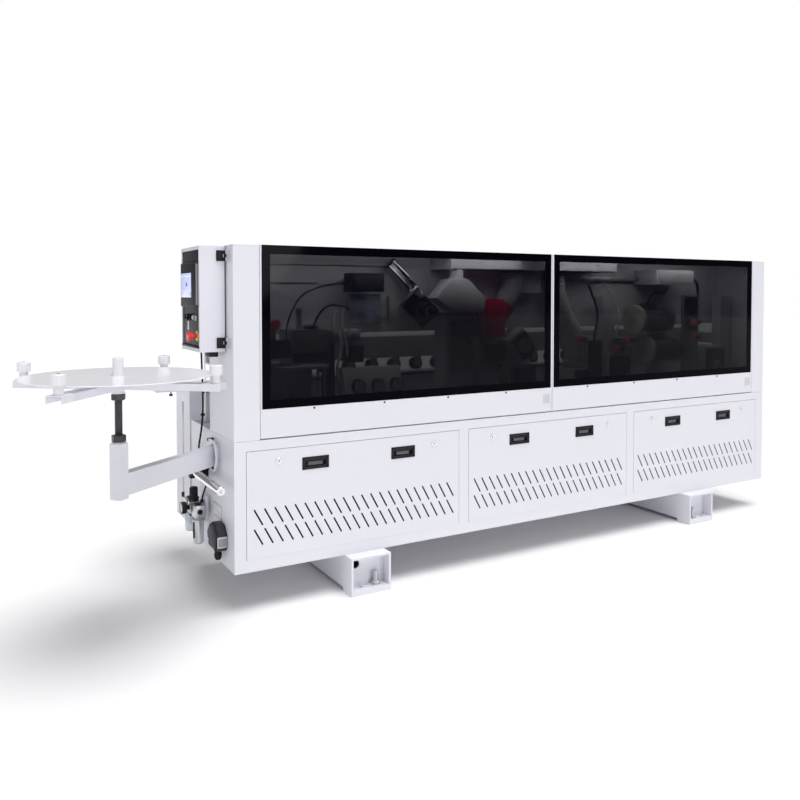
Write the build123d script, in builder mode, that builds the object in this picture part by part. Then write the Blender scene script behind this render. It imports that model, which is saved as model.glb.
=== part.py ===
from build123d import *
from math import atan2, cos, degrees, hypot, radians, sin, tan
import os

# Compact automatic edge banding machine. Millimetres, +X along the machine from infeed to outfeed,
# +Y from the hood doors towards the board, +Z up. The origin is at floor level, in the middle of the
# four floor anchor holes. Sizes are written in the cabinet's own measures: x from its infeed end,
# y back from its front face and z up from its underside; at() turns them into the part's frame.

os.makedirs("parts", exist_ok=True)

# ---------------------------------------------------------------- overall sizes
BODY_LENGTH = 3650
BODY_DEPTH = 720
LOWER_HEIGHT = 588          # lower cabinet, up to the seam under the hood
HOOD_TOP = 1460
HOOD_DEPTH = 374
SHEET = 3                   # folded steel sheet
SEAM = 0.3                  # gap between sheets that meet
TOUCH_GAP = 0.3             # gap between pieces of different bodies

# ---------------------------------------------------------------- feet
FOOT_X = (644, BODY_LENGTH - 688)
FOOT_WIDTH = 210
FOOT_HEIGHT = 180
FOOT_WALL = 10
FOOT_FRONT = -72
FOOT_REAR = 1040
PAD_LENGTH = 95
PAD_HEIGHT = 18
END_PLATE_RECESS = 60
END_PLATE_HOLE = 40
ANCHOR_HOLE = 22
ANCHOR_INSET = 37           # from each end of a foot beam
ANCHOR_SIDE = 40            # outwards from the middle of a foot beam
LEVEL_SCREW = 24
LEVEL_FIT = 0.3
LEVEL_NUT_WIDTH = 36
LEVEL_TOP = 92              # above the floor

# ---------------------------------------------------------------- front frame and lift-off panels
FRAME_DEPTH = 30
PANEL_COUNT = 3
MARGIN_LEFT = 57
MARGIN_RIGHT = 70
MULLION = 62
PANEL_LOW = 54
PANEL_HIGH = 540
PANEL_GAP = 2
PANEL_SHEET = 2
PANEL_RETURN = 18
SLOT_COLUMNS = 22
SLOT_PITCH = 48.8
SLOT_RUN = 41
SLOT_DROP = 75
SLOT_WIDTH = 8
SLOT_ROWS = (241.5, 152.5)
HANDLE_WIDTH = 134
HANDLE_HEIGHT = 58
HANDLE_INSET = 265
HANDLE_LOW = 432
HANDLE_RIM = 7
HANDLE_WALL = 3
HANDLE_DEPTH = 24
HANDLE_FIT = 0.3
LOCK_INSET = 152
LOCK_HEIGHT = 487
LOCK_FACE = 30
LOCK_SHANK = 20
LOCK_FIT = 0.06
LOCK_CAM = (12, 34, 3)

# ---------------------------------------------------------------- hood
COLUMN_LEFT = 121
COLUMN_RIGHT = 117
COLUMN_RETURN = 56
HOOD_GAP = 0.8              # seam between the lower cabinet and the hood
DOOR_GAP = 2
DOOR_SPLIT = 1812
DOOR_LOW = 594
DOOR_TOP = HOOD_TOP + 2
DOOR_DEPTH = 30
GLASS_LOW = 725
GLASS_EDGE = 8
GLASS_THICK = 6
GLASS_FIT = 0.3
LEDGE = 38
LEDGE_THICK = 3
BACK_WALL_LOW = 1040
TOP_FRONT = 60              # front edge of the top sheet behind the doors
DOOR_HINGE = (38, HOOD_TOP - 11)
DOOR_HINGE_INSET = 260
KNUCKLE_RADIUS = 7
KNUCKLE_LENGTH = 28
PIN_RADIUS = 3
PIN_FIT = 0.06

# ---------------------------------------------------------------- tape reel
POST = (-499, -105)
POST_SIZE = 50
POST_LOW = 430
POST_TOP = 659
POST_WALL = 4
POST_CAP = 30
ARM_FLANGE = (275, 486)
ARM_FLANGE_RADIUS = 60
ARM_FLANGE_THICK = 12
ARM_BOLT_CIRCLE = 104
ARM_BOLT_HEAD = 6.5
ARM_WIDTH = 50
ARM_HEIGHT = 88
ARM_WALL = 4
ROD_RADIUS = 15
ROD_LOW = 520
ROD_FIT = 0.06
NUT_WIDTH = 49
NUT_HEIGHT = 26
SPINDLE_NUT_LOW = 824
COLLAR_RADIUS = 22
CROSS_TOP = 896
CROSS_HEIGHT = 28
CROSS_WIDTH = 62
ROLLER_CIRCLE = 405
CROSS_OVERHANG = 28
ROLLER_NECK = (17, 34)
ROLLER_HEAD = (26, 38)
ROLLER_AXLE = 4
DISC_LOW = 917
DISC_THICK = 4
DISC_GAP = 21
CROSS_ANGLE = 52
HUB_RADIUS = 21
HUB_NECK = 20               # where the disc sits, and 1 mm above it
HUB_RELIEF = 1
HUB_FLANGE = 45
HUB_TOP = 992
SPINDLE_PIN = 10

# ---------------------------------------------------------------- control box
BOX_X = (-121, -8)
BOX_Y = (95, 410)
BOX_Z = (984, HOOD_TOP - 4)
BOX_RIM = 16
BOX_HINGE = (-8, 87)
BOX_HINGE_Z = (1000, HOOD_TOP - 71)
BOX_HINGE_HEIGHT = 48
BOX_KNUCKLE = 6
HMI_Y = (120, 386)
HMI_Z = (1185, 1385)
HMI_PROUD = 13
SCREEN_Y = (196, 376)
SCREEN_Z = (1227, 1338)
STOP_AT = (148, 1055)
SELECTOR_AT = (246, 1138)
START_AT = (172, 1138)
BUTTON_FIT = 0.06

# ---------------------------------------------------------------- infeed end fittings
AIR_X = -60
AIR_Y = 453
AIR_BODY_LOW = 171
AIR_BODY_HIGH = 243
BOWL_RADIUS = 27.5
BOWL_Y = (370, 522)
KNOB_RADIUS = 19
KNOB_HEIGHT = 61
INLET_Y = (94, 250)
INLET_Z = (78, 193)
INLET_DEPTH = 56
GUIDE_BAR_RADIUS = 20
GUIDE_BAR_AT = (-60, 381)
GUIDE_BAR_Y = (-6, 610)
GUIDE_BAR_CLAMPS = (410, 560)
GUIDE_BAR_CLAMP = (40, 54)      # along and across the bar
GUIDE_BAR_THREAD = 6
GUIDE_BAR_THREAD_DEPTH = 30

# ---------------------------------------------------------------- board transport
PASS_HEIGHT = 780           # top of the conveyor chain
BED_THICK = 20
TRACK_Y = (590, 690)
TRACK_END = 20
CHAIN_DEPTH = 40
BOARD_GAP = 20              # board thickness that the rest position takes, with the press rollers down
BEAM_Y = (580, 700)
BEAM_HEIGHT = 120
BEAM_WALL = 8
BEAM_END = 70
PRESS_RADIUS = 35
PRESS_WIDTH = 44
PRESS_COUNT = 24
PRESS_AXLE = 8
YOKE = 8
POST_X = ((140, 240), (2414, 2514), (BODY_LENGTH - 140, BODY_LENGTH - 40))
BEAM_POST_Y = (230, 300)
BEAM_POST_TOP = 1229
BEAM_ARM_Z = (905, 975)
PILLAR_Y = (752, 1036)
PILLAR_WIDTH = 80
PILLAR_LOW = 30
PILLAR_WALL = 4

# ---------------------------------------------------------------- working units
UNIT_BACK = 371             # front of the hood's back wall
RAIL_FROM = (958, 1412)
RAIL_TO = (1220, 1151)
RAIL_WIDTH = 60
RAIL_Y = (300, 371)
CARRIAGE_Y = (255, 299.7)
BUFF_Y = 250
BUFF_HEIGHTS = (1080, 885)
BUFF_STARTS = (BODY_LENGTH - 929, BODY_LENGTH - 841)
MOTOR_LENGTH = 290
MOTOR_RADIUS = 78
WHEEL_RADIUS = 95
WHEEL_WIDTH = 28
SHAFT_RADIUS = 12
DUCT_X = (1250, 2450)
DUCT_Y = (160, 371)
DUCT_Z = (HOOD_TOP - 80, HOOD_TOP - 10)
HOSE_RADIUS = 63
SPIGOT_RADIUS = 60
SPIGOT_LENGTH = 80
SPIGOT_WALL = 4
SPIGOT_NECK = 2             # the spigot is this much thinner where it passes the back wall
SPIGOT_NECK_END = 2
SPIGOT_X = 1900
SPIGOT_Z = 1320

# ---------------------------------------------------------------- worked out
LEFT = -(FOOT_X[0] + FOOT_X[1]) / 2
FRONT = -(FOOT_FRONT + FOOT_REAR) / 2
BASE = FOOT_HEIGHT
PANEL_WIDTH = (BODY_LENGTH - MARGIN_LEFT - MARGIN_RIGHT - (PANEL_COUNT - 1) * MULLION) / PANEL_COUNT
PANEL_X = [MARGIN_LEFT + i * (PANEL_WIDTH + MULLION) for i in range(PANEL_COUNT)]
DOORS_X = (COLUMN_LEFT + DOOR_GAP, BODY_LENGTH - COLUMN_RIGHT - DOOR_GAP)
DOOR_SPANS = {
    "left": (DOORS_X[0], DOOR_SPLIT - DOOR_GAP),
    "right": (DOOR_SPLIT + DOOR_GAP, DOORS_X[1]),
}
ARM_ANGLE = degrees(atan2(ARM_FLANGE[0] - POST[1], -ARM_FLANGE_THICK - POST[0]))
ARM_LENGTH = hypot(ARM_FLANGE[0] - POST[1], -ARM_FLANGE_THICK - POST[0])
DISC_RADIUS = ROLLER_CIRCLE - ROLLER_NECK[0] - DISC_GAP
HOOD_LOW = LOWER_HEIGHT + HOOD_GAP
BED_TOP = LOWER_HEIGHT


def at(x, y, z):
    """The part's own coordinates of a point given in the cabinet's measures."""
    return (LEFT + x, FRONT + y, BASE + z)


def front_plane(y):
    """Drawing plane facing the front: the drawing's own axes are the cabinet's x and z."""
    return Plane(origin=at(0, y, 0), x_dir=(1, 0, 0), z_dir=(0, -1, 0))


def end_plane(x):
    """Drawing plane facing the outfeed end: the drawing's axes are the cabinet's y and z."""
    return Plane(origin=at(x, 0, 0), x_dir=(0, 1, 0), z_dir=(1, 0, 0))


def top_plane(z):
    """Drawing plane facing up: the drawing's axes are the cabinet's x and y."""
    return Plane(origin=at(0, 0, z), x_dir=(1, 0, 0), z_dir=(0, 0, 1))


def rect(across, up, mode=Mode.ADD):
    """Rectangle from its low and high values, in the drawing it is called in."""
    with Locations((sum(across) / 2, sum(up) / 2)):
        Rectangle(across[1] - across[0], up[1] - up[0], mode=mode)


def slab(x, y, z, mode=Mode.ADD):
    """Flat-sided block from its low and high values, in the part it is called in."""
    with BuildSketch(top_plane(z[0])) as outline:
        rect(x, y)
    extrude(outline.sketch, amount=z[1] - z[0], mode=mode)


def round_bar(radius, centre, along, plane, mode=Mode.ADD):
    """Round bar or bore: its centre in a drawing plane, from along[0] to along[1]."""
    with BuildSketch(plane(along[0])) as outline:
        with Locations(centre):
            Circle(radius)
    amount = along[1] - along[0]
    extrude(outline.sketch, amount=-amount if plane is front_plane else amount, mode=mode)


def save(piece, name):
    """Label a finished piece and write its STEP file."""
    piece.part.label = name
    export_step(piece.part, f"parts/{name}.step")


# ================================================================ feet
FOOT_BOTTOM = PAD_HEIGHT - FOOT_HEIGHT
FOOT_ENDS = ((FOOT_FRONT, 1), (FOOT_REAR, -1))
OUTWARD = (-1, 1)           # the side of each foot beam that faces away from the machine's middle


def anchor_places(side):
    """Places (x, y) on both foot beams, side from their middles, ANCHOR_INSET from their ends."""
    return [(x + out * side, end + inward * ANCHOR_INSET)
            for x, out in zip(FOOT_X, OUTWARD) for end, inward in FOOT_ENDS]


for foot, x in zip(("foot_beam_left", "foot_beam_right"), FOOT_X):
    half = FOOT_WIDTH / 2
    with BuildPart() as foot_beam:
        with BuildSketch(front_plane(FOOT_FRONT)):
            rect((x - half, x + half), (FOOT_BOTTOM, 0))
            inner = half - FOOT_WALL
            rect((x - inner, x + inner), (FOOT_BOTTOM + FOOT_WALL, -FOOT_WALL), mode=Mode.SUBTRACT)
        extrude(amount=FOOT_FRONT - FOOT_REAR)
        for end, inward in FOOT_ENDS:
            pad = sorted((end, end + inward * PAD_LENGTH))
            slab((x - half, x + half), pad, (-FOOT_HEIGHT, FOOT_BOTTOM))
            recess = end + inward * END_PLATE_RECESS
            plate = sorted((recess, recess + inward * FOOT_WALL))
            slab((x - half, x + half), plate, (FOOT_BOTTOM, 0))
            round_bar(END_PLATE_HOLE / 2, (x - inner + 40, -50), plate, front_plane, Mode.SUBTRACT)
        for place in anchor_places(ANCHOR_SIDE):
            if abs(place[0] - x) < half:
                round_bar(ANCHOR_HOLE / 2, place, (-FOOT_HEIGHT, FOOT_BOTTOM + FOOT_WALL), top_plane,
                          Mode.SUBTRACT)
        for place in anchor_places(-ANCHOR_SIDE):
            if abs(place[0] - x) < half:
                round_bar(LEVEL_SCREW / 2 + LEVEL_FIT, place,
                          (-FOOT_HEIGHT, FOOT_BOTTOM + FOOT_WALL), top_plane, Mode.SUBTRACT)
    save(foot_beam, foot)

with BuildPart() as levelling_screws:
    nut_low = FOOT_BOTTOM + FOOT_WALL
    for place in anchor_places(-ANCHOR_SIDE):
        round_bar(LEVEL_SCREW / 2, place, (-FOOT_HEIGHT, LEVEL_TOP - FOOT_HEIGHT), top_plane)
        with BuildSketch(top_plane(nut_low)):
            with Locations(place):
                RegularPolygon(LEVEL_NUT_WIDTH / 2, 6, major_radius=False)
        extrude(amount=20)
        round_bar(LEVEL_NUT_WIDTH / 2 + 5, place, (nut_low, nut_low + 4), top_plane)
save(levelling_screws, "levelling_screws")

# ================================================================ lower cabinet
with BuildPart() as front_frame:
    with BuildSketch(front_plane(0)):
        rect((0, BODY_LENGTH), (0, LOWER_HEIGHT))
        for x in PANEL_X:
            rect((x - PANEL_GAP, x + PANEL_WIDTH + PANEL_GAP),
                 (PANEL_LOW - TOUCH_GAP, PANEL_HIGH + PANEL_GAP),
                 mode=Mode.SUBTRACT)
    extrude(amount=-FRAME_DEPTH)
save(front_frame, "front_frame")

INSIDE_X = (SHEET + 1 + SEAM, BODY_LENGTH - SHEET - 1 - SEAM)
INSIDE_Y = (FRAME_DEPTH, BODY_DEPTH - SHEET - 1 - SEAM)
BOLT_RADIUS = 4
BOLT_FIT = 0.3


def arm_bolt_places():
    """Places (y, z) of the four bolts that hold the reel arm's flange."""
    reach = ARM_BOLT_CIRCLE / 2
    return [(ARM_FLANGE[0] + i * reach, ARM_FLANGE[1] + j * reach)
            for i, j in ((-1, 0), (1, 0), (0, -1), (0, 1))]


with BuildPart() as cabinet_panels:
    slab((0, SHEET + 1), INSIDE_Y, (0, LOWER_HEIGHT))
    for place in arm_bolt_places():
        round_bar(BOLT_RADIUS + BOLT_FIT, place, (0, SHEET + 1), end_plane, Mode.SUBTRACT)
    slab((BODY_LENGTH - SHEET - 1, BODY_LENGTH), INSIDE_Y, (0, LOWER_HEIGHT))
    slab(INSIDE_X, INSIDE_Y, (0, SHEET + 1))
    with BuildSketch(front_plane(BODY_DEPTH - SHEET - 1)):
        rect((0, BODY_LENGTH), (0, LOWER_HEIGHT))
        with Locations((BODY_LENGTH / 2, LOWER_HEIGHT / 2)):
            with GridLocations(BODY_LENGTH / PANEL_COUNT, 60, PANEL_COUNT, 6):
                SlotOverall(700, 10, mode=Mode.SUBTRACT)
    extrude(amount=-SHEET - 1)
save(cabinet_panels, "cabinet_panels")

with BuildPart() as machine_bed:
    slab(INSIDE_X, INSIDE_Y, (BED_TOP - BED_THICK, BED_TOP))
save(machine_bed, "machine_bed")

# ================================================================ lift-off panels, handles and locks
SLOT_LENGTH = hypot(SLOT_RUN, SLOT_DROP)
SLOT_ANGLE = -degrees(atan2(SLOT_DROP, SLOT_RUN))
HANDLE_MIDDLE = HANDLE_LOW + HANDLE_HEIGHT / 2
HANDLE_OFFSET = PANEL_WIDTH / 2 - HANDLE_INSET - HANDLE_WIDTH / 2
LOCK_OFFSET = PANEL_WIDTH / 2 - LOCK_INSET
CUT_WIDTH = HANDLE_WIDTH - 2 * HANDLE_RIM
CUT_HEIGHT = HANDLE_HEIGHT - 2 * HANDLE_RIM

for side, left in zip(("left", "centre", "right"), PANEL_X):
    middle = left + PANEL_WIDTH / 2
    handles = [(middle - HANDLE_OFFSET, HANDLE_MIDDLE), (middle + HANDLE_OFFSET, HANDLE_MIDDLE)]
    locks = [(middle - LOCK_OFFSET, LOCK_HEIGHT), (middle + LOCK_OFFSET, LOCK_HEIGHT)]

    with BuildPart() as lower_panel:
        with BuildSketch(front_plane(0)):
            rect((left, left + PANEL_WIDTH), (PANEL_LOW, PANEL_HIGH))
        extrude(amount=-PANEL_SHEET - PANEL_RETURN)
        with BuildSketch(front_plane(PANEL_SHEET)):
            rect((left + PANEL_SHEET, left + PANEL_WIDTH - PANEL_SHEET),
                 (PANEL_LOW + PANEL_SHEET, PANEL_HIGH - PANEL_SHEET))
        extrude(amount=-PANEL_RETURN, mode=Mode.SUBTRACT)
        with BuildSketch(front_plane(0)):
            for row in SLOT_ROWS:
                with Locations((middle, row)):
                    with GridLocations(SLOT_PITCH, 1, SLOT_COLUMNS, 1):
                        SlotOverall(SLOT_LENGTH, SLOT_WIDTH, rotation=SLOT_ANGLE)
            with Locations(*handles):
                Rectangle(CUT_WIDTH, CUT_HEIGHT)
            with Locations(*locks):
                Circle(LOCK_SHANK / 2 + LOCK_FIT)
        extrude(amount=-PANEL_SHEET, mode=Mode.SUBTRACT)
    save(lower_panel, f"lower_panel_{side}")

    with BuildPart() as pull_handles:
        with BuildSketch(front_plane(-2)):
            with Locations(*handles):
                RectangleRounded(HANDLE_WIDTH, HANDLE_HEIGHT, 6)
        extrude(amount=-2)
        with BuildSketch(front_plane(0)):
            with Locations(*handles):
                Rectangle(CUT_WIDTH - 2 * HANDLE_FIT, CUT_HEIGHT - 2 * HANDLE_FIT)
        extrude(amount=-HANDLE_DEPTH)
        with BuildSketch(front_plane(-2)):
            with Locations(*handles):
                Rectangle(CUT_WIDTH - 2 * HANDLE_WALL, CUT_HEIGHT - 2 * HANDLE_WALL)
        extrude(amount=HANDLE_WALL - HANDLE_DEPTH - 2, mode=Mode.SUBTRACT)
    save(pull_handles, f"pull_handles_{side}")

    for end, (x, z) in zip(("left", "right"), locks):
        with BuildPart() as panel_lock:
            round_bar(LOCK_FACE / 2, (x, z), (-3, -TOUCH_GAP), front_plane)
            round_bar(LOCK_SHANK / 2, (x, z), (-TOUCH_GAP, 14), front_plane)
            slab((x - LOCK_CAM[0] / 2, x + LOCK_CAM[0] / 2), (14, 14 + LOCK_CAM[2]),
                 (z - LOCK_CAM[0] / 2, z + LOCK_CAM[1]))
            slab((x - 1.2, x + 1.2), (-3, -1.5), (z - 8, z + 8), Mode.SUBTRACT)
        save(panel_lock, f"panel_lock_{side}_{end}")

# ================================================================ hood
with BuildPart() as hood_columns:
    for outer, inner, inward in ((0, COLUMN_LEFT, 1), (BODY_LENGTH, BODY_LENGTH - COLUMN_RIGHT, -1)):
        skin = sorted((outer, outer + inward * SHEET))
        face = sorted((outer, inner))
        fold = sorted((inner, inner - inward * SHEET))
        with BuildSketch(top_plane(HOOD_LOW)):
            rect(skin, (0, HOOD_DEPTH))
            rect(face, (0, SHEET))
            rect(fold, (0, COLUMN_RETURN))
        extrude(amount=HOOD_TOP - SHEET - SEAM - HOOD_LOW)
save(hood_columns, "hood_columns")

BACK_X = (SHEET + SEAM, BODY_LENGTH - SHEET - SEAM)
with BuildPart() as hood_panels:
    with BuildSketch(front_plane(HOOD_DEPTH - SHEET)):
        rect(BACK_X, (BACK_WALL_LOW, HOOD_TOP - SHEET - SEAM))
        with Locations((SPIGOT_X, SPIGOT_Z)):
            Circle(SPIGOT_RADIUS + 2 * SEAM, mode=Mode.SUBTRACT)
    extrude(amount=-SHEET)
    with BuildSketch(top_plane(HOOD_TOP - SHEET)):
        rect((0, BODY_LENGTH), (0, HOOD_DEPTH))
        rect((COLUMN_LEFT, BODY_LENGTH - COLUMN_RIGHT), (0, TOP_FRONT), mode=Mode.SUBTRACT)
    extrude(amount=SHEET)
    slab((COLUMN_LEFT, BODY_LENGTH - COLUMN_RIGHT), (TOP_FRONT, TOP_FRONT + SHEET),
         (HOOD_TOP - 30, HOOD_TOP - SHEET))
save(hood_panels, "hood_panels")


def hinge_places(span):
    """Places along x of the three hinges of a door."""
    return (span[0] + DOOR_HINGE_INSET, sum(span) / 2, span[1] - DOOR_HINGE_INSET)


with BuildPart() as hood_hinges:
    for span in DOOR_SPANS.values():
        for x in hinge_places(span):
            for side in (-1, 1):
                ends = sorted((x + side * (KNUCKLE_LENGTH / 2 + TOUCH_GAP), x + side * KNUCKLE_LENGTH * 1.3))
                round_bar(KNUCKLE_RADIUS, DOOR_HINGE, ends, end_plane)
                slab(ends, (DOOR_HINGE[0], TOP_FRONT - SEAM), (DOOR_HINGE[1] - 4, DOOR_HINGE[1] + 2))
            slab((x - KNUCKLE_LENGTH * 1.3, x + KNUCKLE_LENGTH * 1.3), (TOP_FRONT - 4, TOP_FRONT - SEAM),
                 (HOOD_TOP - 30, DOOR_HINGE[1] + 2))
            round_bar(PIN_RADIUS, DOOR_HINGE, (x - KNUCKLE_LENGTH, x + KNUCKLE_LENGTH), end_plane)
save(hood_hinges, "hood_hinges")

for side, span in DOOR_SPANS.items():
    glass_x = (span[0] + GLASS_EDGE, span[1] - GLASS_EDGE)
    with BuildPart() as hood_door:
        slab(span, (0, DOOR_DEPTH), (DOOR_LOW, DOOR_TOP))
        inside = (span[0] + SHEET, span[1] - SHEET)
        slab(inside, (SHEET, DOOR_DEPTH), (DOOR_LOW + SHEET, GLASS_LOW - SHEET), Mode.SUBTRACT)
        slab(inside, (GLASS_THICK + LEDGE_THICK, DOOR_DEPTH), (GLASS_LOW, DOOR_TOP - SHEET), Mode.SUBTRACT)
        slab(glass_x, (0, GLASS_THICK), (GLASS_LOW, DOOR_TOP), Mode.SUBTRACT)
        slab((glass_x[0] + LEDGE, glass_x[1] - LEDGE), (0, DOOR_DEPTH), (GLASS_LOW + LEDGE, DOOR_TOP - LEDGE),
             Mode.SUBTRACT)
        for x in hinge_places(span):
            ends = (x - KNUCKLE_LENGTH / 2, x + KNUCKLE_LENGTH / 2)
            round_bar(KNUCKLE_RADIUS, DOOR_HINGE, ends, end_plane)
            slab(ends, (GLASS_THICK, DOOR_HINGE[0]), (DOOR_HINGE[1] - 4, DOOR_HINGE[1] + 4))
            round_bar(PIN_RADIUS + PIN_FIT, DOOR_HINGE, ends, end_plane, Mode.SUBTRACT)
    save(hood_door, f"hood_door_{side}")

    with BuildPart() as door_glass:
        slab((glass_x[0] + GLASS_FIT, glass_x[1] - GLASS_FIT), (0, GLASS_THICK),
             (GLASS_LOW + GLASS_FIT, DOOR_TOP))
    save(door_glass, f"door_glass_{side}")

# ================================================================ tape reel
reel_axes = Plane(origin=at(*POST, 0), x_dir=(cos(radians(ARM_ANGLE)), sin(radians(ARM_ANGLE)), 0),
                  z_dir=(0, 0, 1))
cross_axes = Plane(origin=at(*POST, 0), x_dir=(cos(radians(CROSS_ANGLE)), sin(radians(CROSS_ANGLE)), 0),
                   z_dir=(0, 0, 1))
with BuildPart() as reel_arm:
    with BuildSketch(reel_axes.offset(ARM_FLANGE[1] - ARM_HEIGHT / 2)):
        rect((0, ARM_LENGTH + ARM_WIDTH), (-ARM_WIDTH / 2, ARM_WIDTH / 2))
    extrude(amount=ARM_HEIGHT)
    with BuildSketch(reel_axes.offset(POST_LOW)):
        Rectangle(POST_SIZE, POST_SIZE)
    extrude(amount=POST_TOP - POST_LOW)
    top_edges = reel_arm.edges().group_by(Axis.Z)[-1]
    chamfer(top_edges, length=8)
    slab((0, ARM_LENGTH), (-ARM_LENGTH, 2 * ARM_LENGTH), (0, POST_TOP), Mode.SUBTRACT)
    round_bar(ARM_FLANGE_RADIUS, ARM_FLANGE, (-ARM_FLANGE_THICK, 0), end_plane)
    with BuildSketch(reel_axes.offset(ARM_FLANGE[1] - ARM_HEIGHT / 2 + ARM_WALL)):
        rect((0, ARM_LENGTH + ARM_WIDTH), (ARM_WALL - ARM_WIDTH / 2, ARM_WIDTH / 2 - ARM_WALL))
    extrude(amount=ARM_HEIGHT - 2 * ARM_WALL, mode=Mode.SUBTRACT)
    with BuildSketch(reel_axes.offset(POST_LOW)):
        Rectangle(POST_SIZE - 2 * POST_WALL, POST_SIZE - 2 * POST_WALL)
    extrude(amount=POST_TOP - POST_CAP - POST_LOW, mode=Mode.SUBTRACT)
    round_bar(ROD_RADIUS + ROD_FIT, POST, (POST_LOW, POST_TOP), top_plane, Mode.SUBTRACT)
    for place in arm_bolt_places():
        round_bar(BOLT_RADIUS + BOLT_FIT, place, (-ARM_FLANGE_THICK, 0), end_plane, Mode.SUBTRACT)
save(reel_arm, "reel_arm")

with BuildPart() as reel_arm_fasteners:
    for place in arm_bolt_places():
        round_bar(BOLT_RADIUS, place, (-ARM_FLANGE_THICK - 1, 20), end_plane)
        round_bar(ARM_BOLT_HEAD, place, (-ARM_FLANGE_THICK - 7, -ARM_FLANGE_THICK), end_plane)
        round_bar(ARM_BOLT_HEAD, place, (SHEET + 1, SHEET + 8), end_plane)
    with BuildSketch(reel_axes.offset(POST_TOP)):
        RegularPolygon(NUT_WIDTH / 2, 6, major_radius=False)
        Circle(ROD_RADIUS + ROD_FIT, mode=Mode.SUBTRACT)
    extrude(amount=NUT_HEIGHT)
save(reel_arm_fasteners, "reel_arm_fasteners")

CROSS_PLATE = CROSS_TOP - SHEET
with BuildPart() as reel_spindle:
    round_bar(ROD_RADIUS, POST, (ROD_LOW, SPINDLE_NUT_LOW + 1), top_plane)
    with BuildSketch(reel_axes.offset(SPINDLE_NUT_LOW)):
        RegularPolygon(NUT_WIDTH / 2, 6, major_radius=False)
    extrude(amount=NUT_HEIGHT)
    round_bar(COLLAR_RADIUS, POST, (SPINDLE_NUT_LOW + NUT_HEIGHT, CROSS_PLATE), top_plane)
    round_bar(SPINDLE_PIN, POST, (CROSS_PLATE, HUB_TOP - 15), top_plane)
save(reel_spindle, "reel_spindle")

ARM_REACH = ROLLER_CIRCLE + CROSS_OVERHANG
with BuildPart() as reel_cross:
    with BuildSketch(cross_axes.offset(CROSS_TOP - CROSS_HEIGHT)):
        Rectangle(2 * ARM_REACH, CROSS_WIDTH)
        Rectangle(CROSS_WIDTH, 2 * ARM_REACH)
    extrude(amount=CROSS_HEIGHT)
    with BuildSketch(cross_axes.offset(CROSS_TOP - CROSS_HEIGHT)):
        Rectangle(2 * ARM_REACH, CROSS_WIDTH - 2 * SHEET)
        Rectangle(CROSS_WIDTH - 2 * SHEET, 2 * ARM_REACH)
    extrude(amount=CROSS_HEIGHT - SHEET, mode=Mode.SUBTRACT)
    round_bar(SPINDLE_PIN + BOLT_FIT, POST, (CROSS_PLATE, CROSS_TOP), top_plane, Mode.SUBTRACT)
    with BuildSketch(cross_axes.offset(CROSS_PLATE - 6)):
        with PolarLocations(ROLLER_CIRCLE, 4):
            Circle(ROLLER_AXLE)
    extrude(amount=ROLLER_NECK[1] + 30)
save(reel_cross, "reel_cross")

for number in range(4):
    turn = radians(CROSS_ANGLE + 90 * number)
    place = (POST[0] + ROLLER_CIRCLE * cos(turn), POST[1] + ROLLER_CIRCLE * sin(turn))
    low = CROSS_TOP + TOUCH_GAP
    with BuildPart() as guide_roller:
        shoulder = low + ROLLER_NECK[1]
        round_bar(ROLLER_NECK[0], place, (low, shoulder), top_plane)
        round_bar(ROLLER_HEAD[0], place, (shoulder, shoulder + ROLLER_HEAD[1]), top_plane)
        round_bar(ROLLER_AXLE + ROD_FIT, place, (low, CROSS_PLATE + ROLLER_NECK[1] + 26), top_plane,
                  Mode.SUBTRACT)
    save(guide_roller, f"guide_roller_{number + 1}")

with BuildPart() as reel_hub:
    round_bar(HUB_FLANGE, POST, (CROSS_TOP + TOUCH_GAP, DISC_LOW), top_plane)
    round_bar(HUB_NECK, POST, (DISC_LOW, DISC_LOW + DISC_THICK + HUB_RELIEF), top_plane)
    round_bar(HUB_RADIUS, POST, (DISC_LOW + DISC_THICK + HUB_RELIEF, HUB_TOP), top_plane)
    round_bar(SPINDLE_PIN + ROD_FIT, POST, (CROSS_TOP, HUB_TOP - 14), top_plane, Mode.SUBTRACT)
save(reel_hub, "reel_hub")

with BuildPart() as reel_disc:
    round_bar(DISC_RADIUS, POST, (DISC_LOW, DISC_LOW + DISC_THICK), top_plane)
    round_bar(HUB_NECK + 0.1, POST, (DISC_LOW, DISC_LOW + DISC_THICK), top_plane, Mode.SUBTRACT)
save(reel_disc, "reel_disc")

# ================================================================ control box
PANEL_FACE = BOX_X[0] + SHEET
with BuildPart() as control_box:
    slab(BOX_X, BOX_Y, BOX_Z)
    slab((BOX_X[0] + SHEET, BOX_X[1] - SHEET), (BOX_Y[0] + SHEET, BOX_Y[1] - SHEET),
         (BOX_Z[0] + SHEET, BOX_Z[1] - SHEET), Mode.SUBTRACT)
    slab((BOX_X[0], BOX_X[0] + SHEET), (BOX_Y[0] + BOX_RIM, BOX_Y[1] - BOX_RIM),
         (BOX_Z[0] + BOX_RIM, BOX_Z[1] - BOX_RIM), Mode.SUBTRACT)
    for low in BOX_HINGE_Z:
        third = BOX_HINGE_HEIGHT / 3
        middle = (low + third + TOUCH_GAP, low + 2 * third - TOUCH_GAP)
        slab((BOX_X[1] - 30, BOX_X[1] - 8), (BOX_Y[0] - 2, BOX_Y[0]), (low, low + BOX_HINGE_HEIGHT))
        slab((BOX_HINGE[0] - 12, BOX_HINGE[0]), (BOX_HINGE[1], BOX_Y[0]), middle)
        round_bar(BOX_KNUCKLE, BOX_HINGE, middle, top_plane)
        round_bar(PIN_RADIUS + PIN_FIT, BOX_HINGE, middle, top_plane, Mode.SUBTRACT)
save(control_box, "control_box")

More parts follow.
